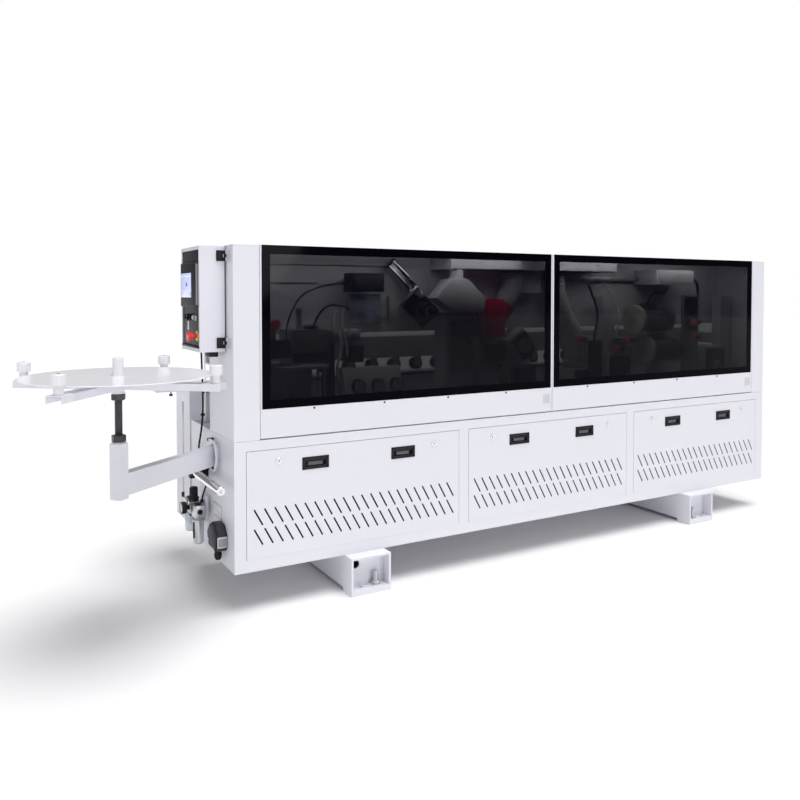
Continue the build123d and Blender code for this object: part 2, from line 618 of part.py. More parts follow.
with BuildPart() as control_box_hinges:
    for low in BOX_HINGE_Z:
        third = BOX_HINGE_HEIGHT / 3
        slab((-SHEET, 0), (BOX_HINGE[1] - 60, BOX_HINGE[1] - BOX_KNUCKLE), (low, low + BOX_HINGE_HEIGHT))
        for part_low in (low, low + 2 * third):
            part = (part_low, part_low + third)
            slab((BOX_HINGE[0], 0), (BOX_HINGE[1] - BOX_KNUCKLE - 6, BOX_HINGE[1]), part)
            round_bar(BOX_KNUCKLE, BOX_HINGE, part, top_plane)
        round_bar(PIN_RADIUS, BOX_HINGE, (low, low + BOX_HINGE_HEIGHT), top_plane)
save(control_box_hinges, "control_box_hinges")

with BuildPart() as control_panel:
    slab((PANEL_FACE, PANEL_FACE + SHEET), (BOX_Y[0] + SHEET + 1, BOX_Y[1] - SHEET - 1),
         (BOX_Z[0] + SHEET + 1, BOX_Z[1] - SHEET - 1))
    slab((PANEL_FACE - HMI_PROUD, PANEL_FACE), HMI_Y, HMI_Z)
    slab((PANEL_FACE - HMI_PROUD, PANEL_FACE - HMI_PROUD + 3), SCREEN_Y, SCREEN_Z, Mode.SUBTRACT)
    round_bar(21, STOP_AT, (PANEL_FACE - 4, PANEL_FACE), end_plane)
    for place, radius in ((STOP_AT, 10), (SELECTOR_AT, 7), (START_AT, 8)):
        round_bar(radius + BUTTON_FIT, place, (PANEL_FACE - 4, PANEL_FACE + SHEET), end_plane, Mode.SUBTRACT)
save(control_panel, "control_panel")

with BuildPart() as touch_screen:
    slab((PANEL_FACE - HMI_PROUD + 1, PANEL_FACE - HMI_PROUD + 3), (SCREEN_Y[0] + 0.3, SCREEN_Y[1] - 0.3),
         (SCREEN_Z[0] + 0.3, SCREEN_Z[1] - 0.3))
save(touch_screen, "touch_screen")

with BuildPart() as emergency_stop:
    round_bar(10, STOP_AT, (PANEL_FACE - 20, PANEL_FACE + 14), end_plane)
    round_bar(15, STOP_AT, (PANEL_FACE - 38, PANEL_FACE - 12), end_plane)
    round_bar(22.5, STOP_AT, (PANEL_FACE - 45, PANEL_FACE - 32), end_plane)
save(emergency_stop, "emergency_stop")

with BuildPart() as selector_switch:
    round_bar(7, SELECTOR_AT, (PANEL_FACE - 2, PANEL_FACE + 14), end_plane)
    round_bar(15, SELECTOR_AT, (PANEL_FACE - 10, PANEL_FACE - TOUCH_GAP), end_plane)
    slab((PANEL_FACE - 22, PANEL_FACE - 10), (SELECTOR_AT[0] - 4, SELECTOR_AT[0] + 4),
         (SELECTOR_AT[1] - 14, SELECTOR_AT[1] + 14))
save(selector_switch, "selector_switch")

with BuildPart() as start_button:
    round_bar(8, START_AT, (PANEL_FACE - 10, PANEL_FACE + 14), end_plane)
    round_bar(11, START_AT, (PANEL_FACE - 16, PANEL_FACE - 6), end_plane)
save(start_button, "start_button")

# ================================================================ infeed end fittings
with BuildPart() as air_unit:
    slab((AIR_X - 26, AIR_X + 26), (BOWL_Y[0] - 28, BOWL_Y[1] + 28), (AIR_BODY_LOW, AIR_BODY_HIGH))
    for y, low in zip(BOWL_Y, (48, 70)):
        round_bar(BOWL_RADIUS, (AIR_X, y), (low, AIR_BODY_LOW), top_plane)
    slab((AIR_X + 26, 0), (AIR_Y - 30, AIR_Y + 30), (AIR_BODY_LOW + 15, AIR_BODY_HIGH - 15))
    round_bar(12, (AIR_Y, 207), (AIR_X - 38, AIR_X - 26), end_plane)
    round_bar(29, (AIR_Y, 207), (AIR_X - 62, AIR_X - 38), end_plane)
    round_bar(7, (AIR_X, AIR_Y), (AIR_BODY_HIGH, AIR_BODY_HIGH + 40), top_plane)
save(air_unit, "air_unit")

with BuildPart() as regulator_knob:
    low = AIR_BODY_HIGH + TOUCH_GAP
    round_bar(KNOB_RADIUS, (AIR_X, AIR_Y), (low, low + KNOB_HEIGHT), top_plane)
    round_bar(KNOB_RADIUS + 7, (AIR_X, AIR_Y), (low, low + 12), top_plane)
    round_bar(7 + ROD_FIT, (AIR_X, AIR_Y), (low, AIR_BODY_HIGH + 41), top_plane, Mode.SUBTRACT)
save(regulator_knob, "regulator_knob")

with BuildPart() as power_inlet:
    with BuildSketch(end_plane(0)):
        with BuildLine():
            Polyline((INLET_Y[0], INLET_Z[0] + 20), (INLET_Y[0], INLET_Z[1] - 40),
                     (INLET_Y[0] + 45, INLET_Z[1]), (INLET_Y[1] - 45, INLET_Z[1]),
                     (INLET_Y[1], INLET_Z[1] - 50), (INLET_Y[1] - 30, INLET_Z[0]),
                     (INLET_Y[0] + 20, INLET_Z[0]), close=True)
        make_face()
    extrude(amount=-INLET_DEPTH)
    chamfer(power_inlet.faces().sort_by(Axis.X)[0].edges(), length=12)
    round_bar(18, (-INLET_DEPTH / 2, sum(INLET_Y) / 2 - 15), (30, INLET_Z[0]), top_plane)
save(power_inlet, "power_inlet")

with BuildPart() as guide_bar:
    round_bar(GUIDE_BAR_RADIUS, GUIDE_BAR_AT, GUIDE_BAR_Y, front_plane)
    round_bar(GUIDE_BAR_THREAD, GUIDE_BAR_AT, (GUIDE_BAR_Y[0], GUIDE_BAR_Y[0] + GUIDE_BAR_THREAD_DEPTH),
              front_plane, Mode.SUBTRACT)
    for y in GUIDE_BAR_CLAMPS:
        half = GUIDE_BAR_CLAMP[1] / 2
        slab((GUIDE_BAR_AT[0] - half, 0), (y, y + GUIDE_BAR_CLAMP[0]),
             (GUIDE_BAR_AT[1] - half, GUIDE_BAR_AT[1] + half))
save(guide_bar, "guide_bar")

# ================================================================ board transport
with BuildPart() as conveyor_track:
    ends = (TRACK_END, BODY_LENGTH - TRACK_END)
    slab(ends, (TRACK_Y[0] + 10, TRACK_Y[1] - 10), (BED_TOP, PASS_HEIGHT - CHAIN_DEPTH))
    with BuildSketch(front_plane(TRACK_Y[0])):
        with Locations(((ends[0] + ends[1]) / 2, PASS_HEIGHT - CHAIN_DEPTH / 2)):
            SlotOverall(ends[1] - ends[0], CHAIN_DEPTH)
    extrude(amount=TRACK_Y[0] - TRACK_Y[1])
save(conveyor_track, "conveyor_track")

BEAM_LOW = PASS_HEIGHT + BOARD_GAP + PRESS_RADIUS * 2 + 10
PRESS_MIDDLE = PASS_HEIGHT + BOARD_GAP + PRESS_RADIUS
PRESS_PITCH = (BODY_LENGTH - 2 * BEAM_END - 2 * PRESS_RADIUS - 60) / (PRESS_COUNT - 1)
PRESS_PLACES = [BEAM_END + PRESS_RADIUS + 30 + i * PRESS_PITCH for i in range(PRESS_COUNT)]
PRESS_BACK = sum(BEAM_Y) / 2 - PRESS_WIDTH / 2
with BuildPart() as pressure_beam:
    with BuildSketch(end_plane(BEAM_END)):
        rect(BEAM_Y, (BEAM_LOW, BEAM_LOW + BEAM_HEIGHT))
        rect((BEAM_Y[0] + BEAM_WALL, BEAM_Y[1] - BEAM_WALL),
             (BEAM_LOW + BEAM_WALL, BEAM_LOW + BEAM_HEIGHT - BEAM_WALL), mode=Mode.SUBTRACT)
    extrude(amount=BODY_LENGTH - 2 * BEAM_END)
    for span in POST_X:
        slab(span, (BEAM_POST_Y[1] + TOUCH_GAP, BEAM_Y[0] - SEAM), BEAM_ARM_Z)
    for x in PRESS_PLACES:
        slab((x - 20, x + 20), (PRESS_BACK - YOKE - TOUCH_GAP, PRESS_BACK - TOUCH_GAP),
             (PRESS_MIDDLE - 15, BEAM_LOW))
        round_bar(PRESS_AXLE, (x, PRESS_MIDDLE), (PRESS_BACK - YOKE, PRESS_BACK + PRESS_WIDTH - 4),
                  front_plane)
save(pressure_beam, "pressure_beam")

with BuildPart() as pressure_rollers:
    for x in PRESS_PLACES:
        round_bar(PRESS_RADIUS, (x, PRESS_MIDDLE), (PRESS_BACK, PRESS_BACK + PRESS_WIDTH), front_plane)
        round_bar(PRESS_AXLE + 0.05, (x, PRESS_MIDDLE), (PRESS_BACK, PRESS_BACK + PRESS_WIDTH - 3),
                  front_plane, Mode.SUBTRACT)
save(pressure_rollers, "pressure_rollers")

with BuildPart() as beam_posts:
    for span in POST_X:
        slab(span, BEAM_POST_Y, (BED_TOP, BEAM_POST_TOP))
        slab((span[0] + 5, span[1] - 5), (BEAM_POST_Y[0] + 5, BEAM_POST_Y[1] - 5),
             (BED_TOP + 12, BEAM_POST_TOP),
             Mode.SUBTRACT)
save(beam_posts, "beam_posts")

with BuildPart() as outboard_support:
    for x in ((0, PILLAR_WIDTH), (BODY_LENGTH - PILLAR_WIDTH, BODY_LENGTH)):
        slab(x, PILLAR_Y, (PILLAR_LOW, PASS_HEIGHT - 80))
        slab((x[0] + PILLAR_WALL, x[1] - PILLAR_WALL), (PILLAR_Y[0] + PILLAR_WALL, PILLAR_Y[1] - PILLAR_WALL),
             (PILLAR_LOW, PASS_HEIGHT - 80 - PILLAR_WALL), Mode.SUBTRACT)
        for z in (100, 500):
            slab((x[0] + 10, x[1] - 10), (BODY_DEPTH + SEAM, PILLAR_Y[0]), (z, z + 60))
    slab((0, BODY_LENGTH), (PILLAR_Y[1] - 80, PILLAR_Y[1]), (PASS_HEIGHT - 80, PASS_HEIGHT - 20))
    slab((-190, 0), (PILLAR_Y[0] - 100, PILLAR_Y[1]), (PASS_HEIGHT - 31, PASS_HEIGHT - 1))
    slab((0, PILLAR_WIDTH), (PILLAR_Y[0] - 1, PILLAR_Y[1]), (PASS_HEIGHT - 80, PASS_HEIGHT - 1))
save(outboard_support, "outboard_support")

# ================================================================ working units
with BuildPart() as glue_unit:
    slab((272, 527), (150, 520), (BED_TOP, 895))
    slab((349, 543), (190, 360), (895, 1069))
    slab((257, 349), (190, 290), (934, 1019))
    round_bar(17, (403, 230), (1069, 1175), top_plane)
    slab((543, 600), (240, 280), (BED_TOP, 1000))
    slab((543, 745), (240, 280), (1000, 1030))
    for x in (560, 610, 660, 710):
        round_bar(19, (x, 1047), (205, 275), front_plane)
    slab((665, 738), (190, 330), (898, 982))
    slab((690, 712), (240, 280), (982, 1000))
    round_bar(27, (271, 1094), (200, 222), front_plane)
    slab((262, 280), (222, 290), (1019, 1110))
    with BuildSketch(end_plane(612)):
        with BuildLine():
            Polyline((140, BED_TOP), (140, 742), (180, 873), (230, 873), (230, BED_TOP), close=True)
        make_face()
    extrude(amount=330)
save(glue_unit, "glue_unit")

rail_slope = degrees(atan2(RAIL_TO[1] - RAIL_FROM[1], RAIL_TO[0] - RAIL_FROM[0]))
rail_length = hypot(RAIL_TO[1] - RAIL_FROM[1], RAIL_TO[0] - RAIL_FROM[0])


def rail_plane(y):
    """Front-facing drawing plane with its x axis down the end-trim rail, from the rail's top end."""
    along = (cos(radians(rail_slope)), 0, sin(radians(rail_slope)))
    return Plane(origin=at(RAIL_FROM[0], y, RAIL_FROM[1]), x_dir=along, z_dir=(0, -1, 0))


with BuildPart() as end_trim_rail:
    with BuildSketch(rail_plane(RAIL_Y[0])):
        rect((0, rail_length), (-RAIL_WIDTH / 2, RAIL_WIDTH / 2))
    extrude(amount=RAIL_Y[0] - RAIL_Y[1])
save(end_trim_rail, "end_trim_rail")

with BuildPart() as end_trim_carriage:
    with BuildSketch(rail_plane(CARRIAGE_Y[0])):
        rect((190, 390), (-130, 20))
    extrude(amount=CARRIAGE_Y[0] - CARRIAGE_Y[1])
    with BuildSketch(rail_plane(CARRIAGE_Y[0])):
        with Locations((300, -70)):
            Circle(50)
    extrude(amount=95)
save(end_trim_carriage, "end_trim_carriage")

with BuildPart() as trimming_unit:
    slab((1266, 1453), (170, 360), (BED_TOP, 1140))
    slab((1500, 1650), (170, 360), (BED_TOP, 1000))
    slab((1700, 1860), (170, 360), (BED_TOP, 860))
    with BuildSketch(front_plane(180)):
        with Locations((1770, 950)):
            Rectangle(130, 170, rotation=35)
    extrude(amount=-150)
    slab((2150, 2270), (170, 360), (BED_TOP, 810))
save(trimming_unit, "trimming_unit")

with BuildPart() as buffing_motors:
    for start, z in zip(BUFF_STARTS, BUFF_HEIGHTS):
        round_bar(SHAFT_RADIUS, (BUFF_Y, z), (start - WHEEL_WIDTH - 10, start + 10), end_plane)
        round_bar(MOTOR_RADIUS, (BUFF_Y, z), (start, start + MOTOR_LENGTH), end_plane)
    middle = BUFF_STARTS[1] + 130
    slab((middle - 60, middle + 60), (BUFF_Y - 50, BUFF_Y + 50), (BED_TOP, BUFF_HEIGHTS[0] - 40))
    slab((BODY_LENGTH - 536, BODY_LENGTH - 391), (200, 230), (BED_TOP, 1238))
    slab((BODY_LENGTH - 360, BODY_LENGTH - 154), (170, 360), (BED_TOP, 893))
save(buffing_motors, "buffing_motors")

for name, start, z in zip(("upper", "lower"), BUFF_STARTS, BUFF_HEIGHTS):
    with BuildPart() as buffing_wheel:
        face = start - TOUCH_GAP
        round_bar(WHEEL_RADIUS, (BUFF_Y, z), (face - WHEEL_WIDTH, face), end_plane)
        round_bar(SHAFT_RADIUS + ROD_FIT, (BUFF_Y, z), (face - WHEEL_WIDTH, face), end_plane, Mode.SUBTRACT)
    save(buffing_wheel, f"buffing_wheel_{name}")

HOSE_ROUTES = (
    ((1750, 285, DUCT_Z[0]), (1750, 285, 1270), (1685, 280, 1178)),
    ((2075, 285, DUCT_Z[0]), (2075, 285, 1265), (2120, 278, 1130), (2210, 265, 985), (2210, 265, 810.3)),
)
with BuildPart() as extraction_hoods:
    slab(DUCT_X, DUCT_Y, DUCT_Z)
    with BuildSketch(front_plane(150)):
        with BuildLine():
            Polyline((1150, 1222), (1239, 1325), (1351, 1325), (1472, 1222), (1453, 1140.3), (1270, 1140.3),
                     close=True)
        make_face()
    extrude(amount=-98)
    round_bar(38, (1310, 205), (1325, DUCT_Z[0]), top_plane)
    slab((1513, 1633), (190, 350), (1000.3, 1216))
    corner, end = (Vector(*at(*point)) for point in HOSE_ROUTES[0][-2:])
    with BuildSketch(Plane(origin=end, z_dir=corner - end)) as collar:
        Circle(HOSE_RADIUS)
    extrude(collar.sketch, amount=-100)
    slab((SPIGOT_X - 70, SPIGOT_X + 70), (DUCT_Y[1] - 90, DUCT_Y[1] - SEAM), (SPIGOT_Z - 70, DUCT_Z[0]))
    neck = (DUCT_Y[1] - SEAM, HOOD_DEPTH + SPIGOT_NECK_END)
    pipe = (neck[1], HOOD_DEPTH + SPIGOT_LENGTH)
    for radius, along in ((SPIGOT_RADIUS - SPIGOT_NECK, neck), (SPIGOT_RADIUS, pipe)):
        with BuildSketch(front_plane(along[0])):
            with Locations((SPIGOT_X, SPIGOT_Z)):
                Circle(radius)
                Circle(SPIGOT_RADIUS - SPIGOT_WALL, mode=Mode.SUBTRACT)
        extrude(amount=along[0] - along[1])
save(extraction_hoods, "extraction_hoods")



def flexible_tube(route, radius):
    """Hose or cable along straight runs joined by arcs, in the part it is called in."""
    corners = [Vector(*at(*point)) for point in route]
    bends = []
    for before, corner, after in zip(corners, corners[1:], corners[2:]):
        turn = radians((corner - before).get_angle(after - corner))
        run = min((corner - before).length, (after - corner).length)
        bends.append(0.45 * run / tan(turn / 2))
    print("bend radii", [round(bend) for bend in bends], "of a tube of radius", radius)
    with BuildLine() as path:
        FilletPolyline(*corners, radius=bends)
    with BuildSketch(Plane(origin=path.line @ 0, z_dir=path.line % 0)) as section:
        Circle(radius)
    sweep(section.sketch, path=path.line)


# Cable from the control box, air hose and feed tube at the infeed end, each with its end fittings
CABLE_RADIUS = 4.5
CABLE_GLAND = 9
AIR_HOSE_RADIUS = 4
FEED_TUBE_RADIUS = 6
FITTING_RADIUS = 8
FITTING_REACH = 28
CABLE_TOP = (-34, 392)
CABLE_END = (541, 440)
AIR_HOSE_TOP = (345, 425)
AIR_HOSE_END = (-44, 366)
FEED_TUBE_ENDS = ((316, 553), (306, 418))
CABLE_ROUTE = ((*CABLE_TOP, 969.7), (-32, 394, 900), (-26, 404, 820), (-22, 414, 735), (-20, 426, 655),
               (-20, 447, 590), (-20, 482, 526), (-18, 515, 480), (-9, 538, 446))
AIR_HOSE_ROUTE = ((-20, 345, 421), (-20, 345, 375), (-24, 352, 331), (-36, 361, 296), (*AIR_HOSE_END, 259))
FEED_TUBE_ROUTE = [(-20, y, z) for y, z in ((316, 553), (276, 556), (234, 548), (205, 524), (196, 486),
                                            (205, 447), (234, 420), (275, 414), (306, 418))]
with BuildPart() as hoses_and_cables:
    for route in HOSE_ROUTES:
        flexible_tube(route, HOSE_RADIUS)
    flexible_tube(CABLE_ROUTE, CABLE_RADIUS)
    round_bar(CABLE_GLAND, CABLE_TOP, (BOX_Z[0] - 16, BOX_Z[0] - TOUCH_GAP), top_plane)
    round_bar(CABLE_GLAND, CABLE_END, (-14, -SEAM), end_plane)
    flexible_tube(AIR_HOSE_ROUTE, AIR_HOSE_RADIUS)
    round_bar(FITTING_RADIUS, AIR_HOSE_TOP, (-FITTING_REACH, -SEAM), end_plane)
    round_bar(FITTING_RADIUS, AIR_HOSE_END, (AIR_BODY_HIGH + SEAM, AIR_BODY_HIGH + 18), top_plane)
    flexible_tube(FEED_TUBE_ROUTE, FEED_TUBE_RADIUS)
    for place in FEED_TUBE_ENDS:
        round_bar(FITTING_RADIUS, place, (-FITTING_REACH, -SEAM), end_plane)
save(hoses_and_cables, "hoses_and_cables")
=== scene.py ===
"""Looks of a compact edge banding machine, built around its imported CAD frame.

Lengths inside the classes are millimetres in the cabinet's own measures: x from the infeed end, y back
from the front face and z up from the cabinet's underside. at() turns them into metres in the row frame.
"""

import logging
import math
from dataclasses import dataclass
from enum import Enum

import bpy
from mathutils import Matrix, Vector


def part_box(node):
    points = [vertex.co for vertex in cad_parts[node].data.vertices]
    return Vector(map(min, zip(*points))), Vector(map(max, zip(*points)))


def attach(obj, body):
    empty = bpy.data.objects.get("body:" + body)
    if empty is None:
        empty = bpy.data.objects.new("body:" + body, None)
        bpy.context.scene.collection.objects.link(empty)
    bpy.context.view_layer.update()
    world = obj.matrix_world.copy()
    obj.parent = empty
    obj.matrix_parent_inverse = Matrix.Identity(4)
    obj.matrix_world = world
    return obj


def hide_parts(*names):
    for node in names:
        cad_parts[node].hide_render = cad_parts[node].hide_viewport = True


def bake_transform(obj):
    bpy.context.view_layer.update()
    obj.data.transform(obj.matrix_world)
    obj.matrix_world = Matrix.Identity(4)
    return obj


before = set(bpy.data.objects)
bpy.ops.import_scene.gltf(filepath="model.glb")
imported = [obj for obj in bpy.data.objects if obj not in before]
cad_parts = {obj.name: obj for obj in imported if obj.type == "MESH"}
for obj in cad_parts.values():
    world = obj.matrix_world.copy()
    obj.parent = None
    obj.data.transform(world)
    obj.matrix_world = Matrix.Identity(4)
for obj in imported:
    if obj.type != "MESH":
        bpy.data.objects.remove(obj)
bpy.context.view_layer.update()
log = logging.getLogger("edge_bander")

MM = 0.001
CORNER, FAR_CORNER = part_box("front_frame")
BODY_LENGTH = (FAR_CORNER.x - CORNER.x) / MM
HOOD_TOP = (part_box("hood_panels")[1].z - CORNER.z) / MM
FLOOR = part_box("foot_beam_left")[0].z
BED_TOP = 588.0
BACK_WALL = 370.6
COAT_ROUGHNESS = 0.08
GLOSS_SPREAD = 0.2
RELIEF_DEPTH = 0.0006
WELD_GAP = 0.00002
Span = tuple[float, float]
Point = tuple[float, float, float]


def at(x: float, y: float, z: float) -> Vector:
    """Point in the row frame, in metres.

    Args:
        x, y, z: the point in the cabinet's measures, in millimetres.

    Returns:
        The same point as a vector in metres.
    """
    return CORNER + Vector((x, y, z)) * MM


def spans(node: str) -> tuple[Span, Span, Span]:
    """Low and high x, y and z of a CAD node, in the cabinet's measures."""
    low, high = ((corner - CORNER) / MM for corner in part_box(node))
    return (low.x, high.x), (low.y, high.y), (low.z, high.z)


# ---------------------------------------------------------------- finishes
class Grain(Enum):
    """How the fine surface texture of a finish runs: its stretch along x, y and z."""

    EVEN = (1.0, 1.0, 1.0)
    BRUSHED_X = (0.04, 1.0, 1.0)
    BRUSHED_Y = (1.0, 0.04, 1.0)
    BRUSHED_Z = (1.0, 1.0, 0.04)


@dataclass(frozen=True)
class Finish:
    """One procedural finish: a mottled colour, a varied gloss and a fine bump."""

    name: str
    colour: Point
    roughness: float = 0.5
    metallic: float = 0.0
    mottle: float = 0.05
    patch: float = 9.0
    bump: float = 0.05
    grain_scale: float = 700.0
    grain: Grain = Grain.EVEN
    coat: float = 0.0
    alpha: float = 1.0
    transmission: float = 0.0
    glow: float = 0.0
    specular: float = 0.5

    def material(self) -> bpy.types.Material:
        """Blender material of this finish, made once.

        Returns:
            The material, with its nodes.
        """
        made = bpy.data.materials.get(self.name)
        if made:
            return made
        made = bpy.data.materials.new(self.name)
        made.use_nodes = True
        nodes, links = made.node_tree.nodes, made.node_tree.links
        shader = nodes["Principled BSDF"]
        for socket, value in (("Metallic", self.metallic), ("Coat Weight", self.coat),
                              ("Specular IOR Level", self.specular), ("Coat Roughness", COAT_ROUGHNESS),
                              ("Alpha", self.alpha), ("Transmission Weight", self.transmission)):
            shader.inputs[socket].default_value = value
        if self.glow:
            shader.inputs["Emission Color"].default_value = (*self.colour, 1)
            shader.inputs["Emission Strength"].default_value = self.glow
        place = nodes.new("ShaderNodeTexCoord")
        turn = nodes.new("ShaderNodeMapping")
        turn.inputs["Scale"].default_value = self.grain.value
        links.new(place.outputs["Object"], turn.inputs["Vector"])
        broad = nodes.new("ShaderNodeTexNoise")
        broad.inputs["Scale"].default_value = self.patch
        broad.inputs["Detail"].default_value = 5
        links.new(turn.outputs["Vector"], broad.inputs["Vector"])
        tint = nodes.new("ShaderNodeMixRGB")
        tint.inputs["Color1"].default_value = (*(c * (1 - self.mottle) for c in self.colour), 1)
        tint.inputs["Color2"].default_value = (*(min(1, c * (1 + self.mottle)) for c in self.colour), 1)
        links.new(broad.outputs["Fac"], tint.inputs["Fac"])
        links.new(tint.outputs["Color"], shader.inputs["Base Color"])
        gloss = nodes.new("ShaderNodeMapRange")
        gloss.inputs["To Min"].default_value = self.roughness * (1 - GLOSS_SPREAD)
        gloss.inputs["To Max"].default_value = min(1, self.roughness * (1 + GLOSS_SPREAD))
        fine = nodes.new("ShaderNodeTexNoise")
        fine.inputs["Scale"].default_value = self.grain_scale
        fine.inputs["Detail"].default_value = 3
        links.new(turn.outputs["Vector"], fine.inputs["Vector"])
        links.new(fine.outputs["Fac"], gloss.inputs["Value"])
        links.new(gloss.outputs["Result"], shader.inputs["Roughness"])
        relief = nodes.new("ShaderNodeBump")
        relief.inputs["Strength"].default_value = self.bump
        relief.inputs["Distance"].default_value = RELIEF_DEPTH
        links.new(fine.outputs["Fac"], relief.inputs["Height"])
        links.new(relief.outputs["Normal"], shader.inputs["Normal"])
        return made


WHITE_PAINT = Finish("white_powder_coat", (0.77, 0.77, 0.83), 0.42, mottle=0.012, patch=3, bump=0.12,
                     grain_scale=900)
PALE_PAINT = Finish("pale_grey_paint", (0.62, 0.62, 0.66), 0.45, mottle=0.03, bump=0.1)
BED_PAINT = Finish("grey_cast_paint", (0.34, 0.35, 0.38), 0.55, mottle=0.08, patch=30, bump=0.35,
                   grain_scale=260)
BLACK_PAINT = Finish("black_satin_paint", (0.008, 0.008, 0.011), 0.4, mottle=0.1, bump=0.12, specular=0.22)
MOTOR_PAINT = Finish("dark_motor_paint", (0.06, 0.065, 0.075), 0.38, mottle=0.12, bump=0.2)
BLACK_PLASTIC = Finish("black_moulded_plastic", (0.010, 0.010, 0.013), 0.5, mottle=0.08, bump=0.25,
                       specular=0.25)
DARK_PLASTIC = Finish("dark_grey_plastic", (0.035, 0.035, 0.045), 0.5, mottle=0.08, bump=0.2, specular=0.3)
GREY_MOULDING = Finish("mid_grey_plastic", (0.10, 0.10, 0.115), 0.5, mottle=0.06, bump=0.2)
GREY_PLASTIC = Finish("light_grey_plastic", (0.30, 0.30, 0.33), 0.5, mottle=0.04, bump=0.15)
WHITE_PLASTIC = Finish("white_nylon", (0.82, 0.82, 0.86), 0.32, mottle=0.015, bump=0.04)
CREAM_PLASTIC = Finish("cream_plastic", (0.72, 0.68, 0.55), 0.4)
RED_PLASTIC = Finish("red_plastic", (0.62, 0.012, 0.03), 0.25, coat=0.4, bump=0.02)
RED_PAINT = Finish("red_hood_paint", (0.62, 0.012, 0.035), 0.35, mottle=0.08, bump=0.12)
YELLOW_PLASTIC = Finish("yellow_plastic", (0.85, 0.55, 0.02), 0.4)
ORANGE_PLASTIC = Finish("orange_plastic", (0.80, 0.17, 0.02), 0.4)
BARE_STEEL = Finish("bare_steel", (0.50, 0.51, 0.53), 0.3, 1.0, mottle=0.08, bump=0.15,
                    grain=Grain.BRUSHED_X)
ALUMINIUM = Finish("milled_aluminium", (0.62, 0.63, 0.65), 0.34, 1.0, mottle=0.05, grain=Grain.BRUSHED_Z)
BLACK_STEEL = Finish("blackened_steel", (0.07, 0.07, 0.075), 0.36, 0.9, mottle=0.15, bump=0.2)
CHROME = Finish("polished_chrome", (0.80, 0.80, 0.82), 0.07, 1.0, mottle=0.01, bump=0.01,
                grain=Grain.BRUSHED_Y)
RUBBER = Finish("black_rubber", (0.012, 0.012, 0.013), 0.75, mottle=0.15, bump=0.5, grain_scale=420,
                specular=0.25)
COTTON = Finish("stitched_cotton", (0.60, 0.56, 0.46), 0.95, mottle=0.2, patch=60, bump=0.9,
                grain_scale=900)
TURNTABLE = Finish("glossy_turntable", (0.86, 0.86, 0.90), 0.2, mottle=0.01, bump=0.01, specular=0.25)
FRIT = Finish("black_glass_border", (0.001, 0.001, 0.003), 0.05, mottle=0.02, bump=0.0, specular=0.03)
GLASS = Finish("tinted_glass", (0.002, 0.002, 0.005), 0.04, mottle=0.02, bump=0.0, alpha=0.78,
               specular=0.06)
CLEAR_PANEL = Finish("clear_blue_guard", (0.35, 0.45, 0.62), 0.08, bump=0.0, alpha=0.35)
BOWL_GLASS = Finish("clear_bowl", (0.42, 0.50, 0.58), 0.1, bump=0.02, alpha=0.6)
HOSE_SKIN = Finish("corrugated_hose_skin", (0.50, 0.50, 0.53), 0.55, mottle=0.08, patch=40, bump=0.2)
TUBE_WHITE = Finish("white_air_tube", (0.80, 0.80, 0.83), 0.3, mottle=0.02, bump=0.02)
SCREEN = Finish("lit_screen", (0.52, 0.56, 0.80), 0.2, mottle=0.04, patch=4, bump=0.0, glow=0.55)
SCREEN_BAR = Finish("lit_screen_bar", (0.62, 0.66, 0.90), 0.2, bump=0.0, glow=0.7)
SCREEN_ICON = Finish("lit_screen_icon", (0.02, 0.08, 0.60), 0.2, bump=0.0, glow=0.7)
DIAL = Finish("gauge_dial", (0.75, 0.75, 0.76), 0.4, bump=0.0)


# ---------------------------------------------------------------- modelling tools
def clear_selection() -> None:
    """Leave object mode with nothing selected."""
    if bpy.context.object and bpy.context.object.mode != "OBJECT":
        bpy.ops.object.mode_set(mode="OBJECT")
    bpy.ops.object.select_all(action="DESELECT")


def settle(smooth: float = 35.0) -> bpy.types.Object:
    """Put the active object's place and turn into its mesh and shade it.

    Args:
        smooth: edges flatter than this many degrees are shaded smooth.

    Returns:
        The active object.
    """
    bpy.ops.object.transform_apply(location=True, rotation=True, scale=True)
    bpy.ops.object.shade_smooth_by_angle(angle=math.radians(smooth))
    return bpy.context.object


def hold(name: str, data: bpy.types.ID) -> bpy.types.Object:
    """Object that holds the data, linked to the scene, active and selected."""
    made = bpy.data.objects.new(name, data)
    bpy.context.scene.collection.objects.link(made)
    bpy.context.view_layer.objects.active = made
    made.select_set(True)
    return made


def cube(x: Span, y: Span, z: Span, tilt: float = 0.0) -> list[float]:
    """Add a cube that fills the spans, turned by tilt degrees, and return its sides in metres."""
    sides = [abs(high - low) * MM for low, high in (x, y, z)]
    middle = at(*(sum(span) / 2 for span in (x, y, z)))
    bpy.ops.mesh.primitive_cube_add(size=1, location=middle, rotation=(0, -math.radians(tilt), 0),
                                    scale=sides)
    bpy.ops.object.transform_apply(location=True, rotation=True, scale=True)
    return sides


def edit(select: str = "SELECT") -> None:
    """Enter edit mode on the active object with all or nothing selected."""
    bpy.ops.object.mode_set(mode="EDIT")
    bpy.ops.mesh.select_mode(type="FACE")
    bpy.ops.mesh.select_all(action=select)


def pick_faces(normal: Vector) -> None:
    """Select the active object's faces that look along normal, from edit mode and back to it."""
    bpy.ops.object.mode_set(mode="OBJECT")
    for face in bpy.context.object.data.polygons:
        face.select = face.normal.dot(normal) > 0.99
    bpy.ops.object.mode_set(mode="EDIT")


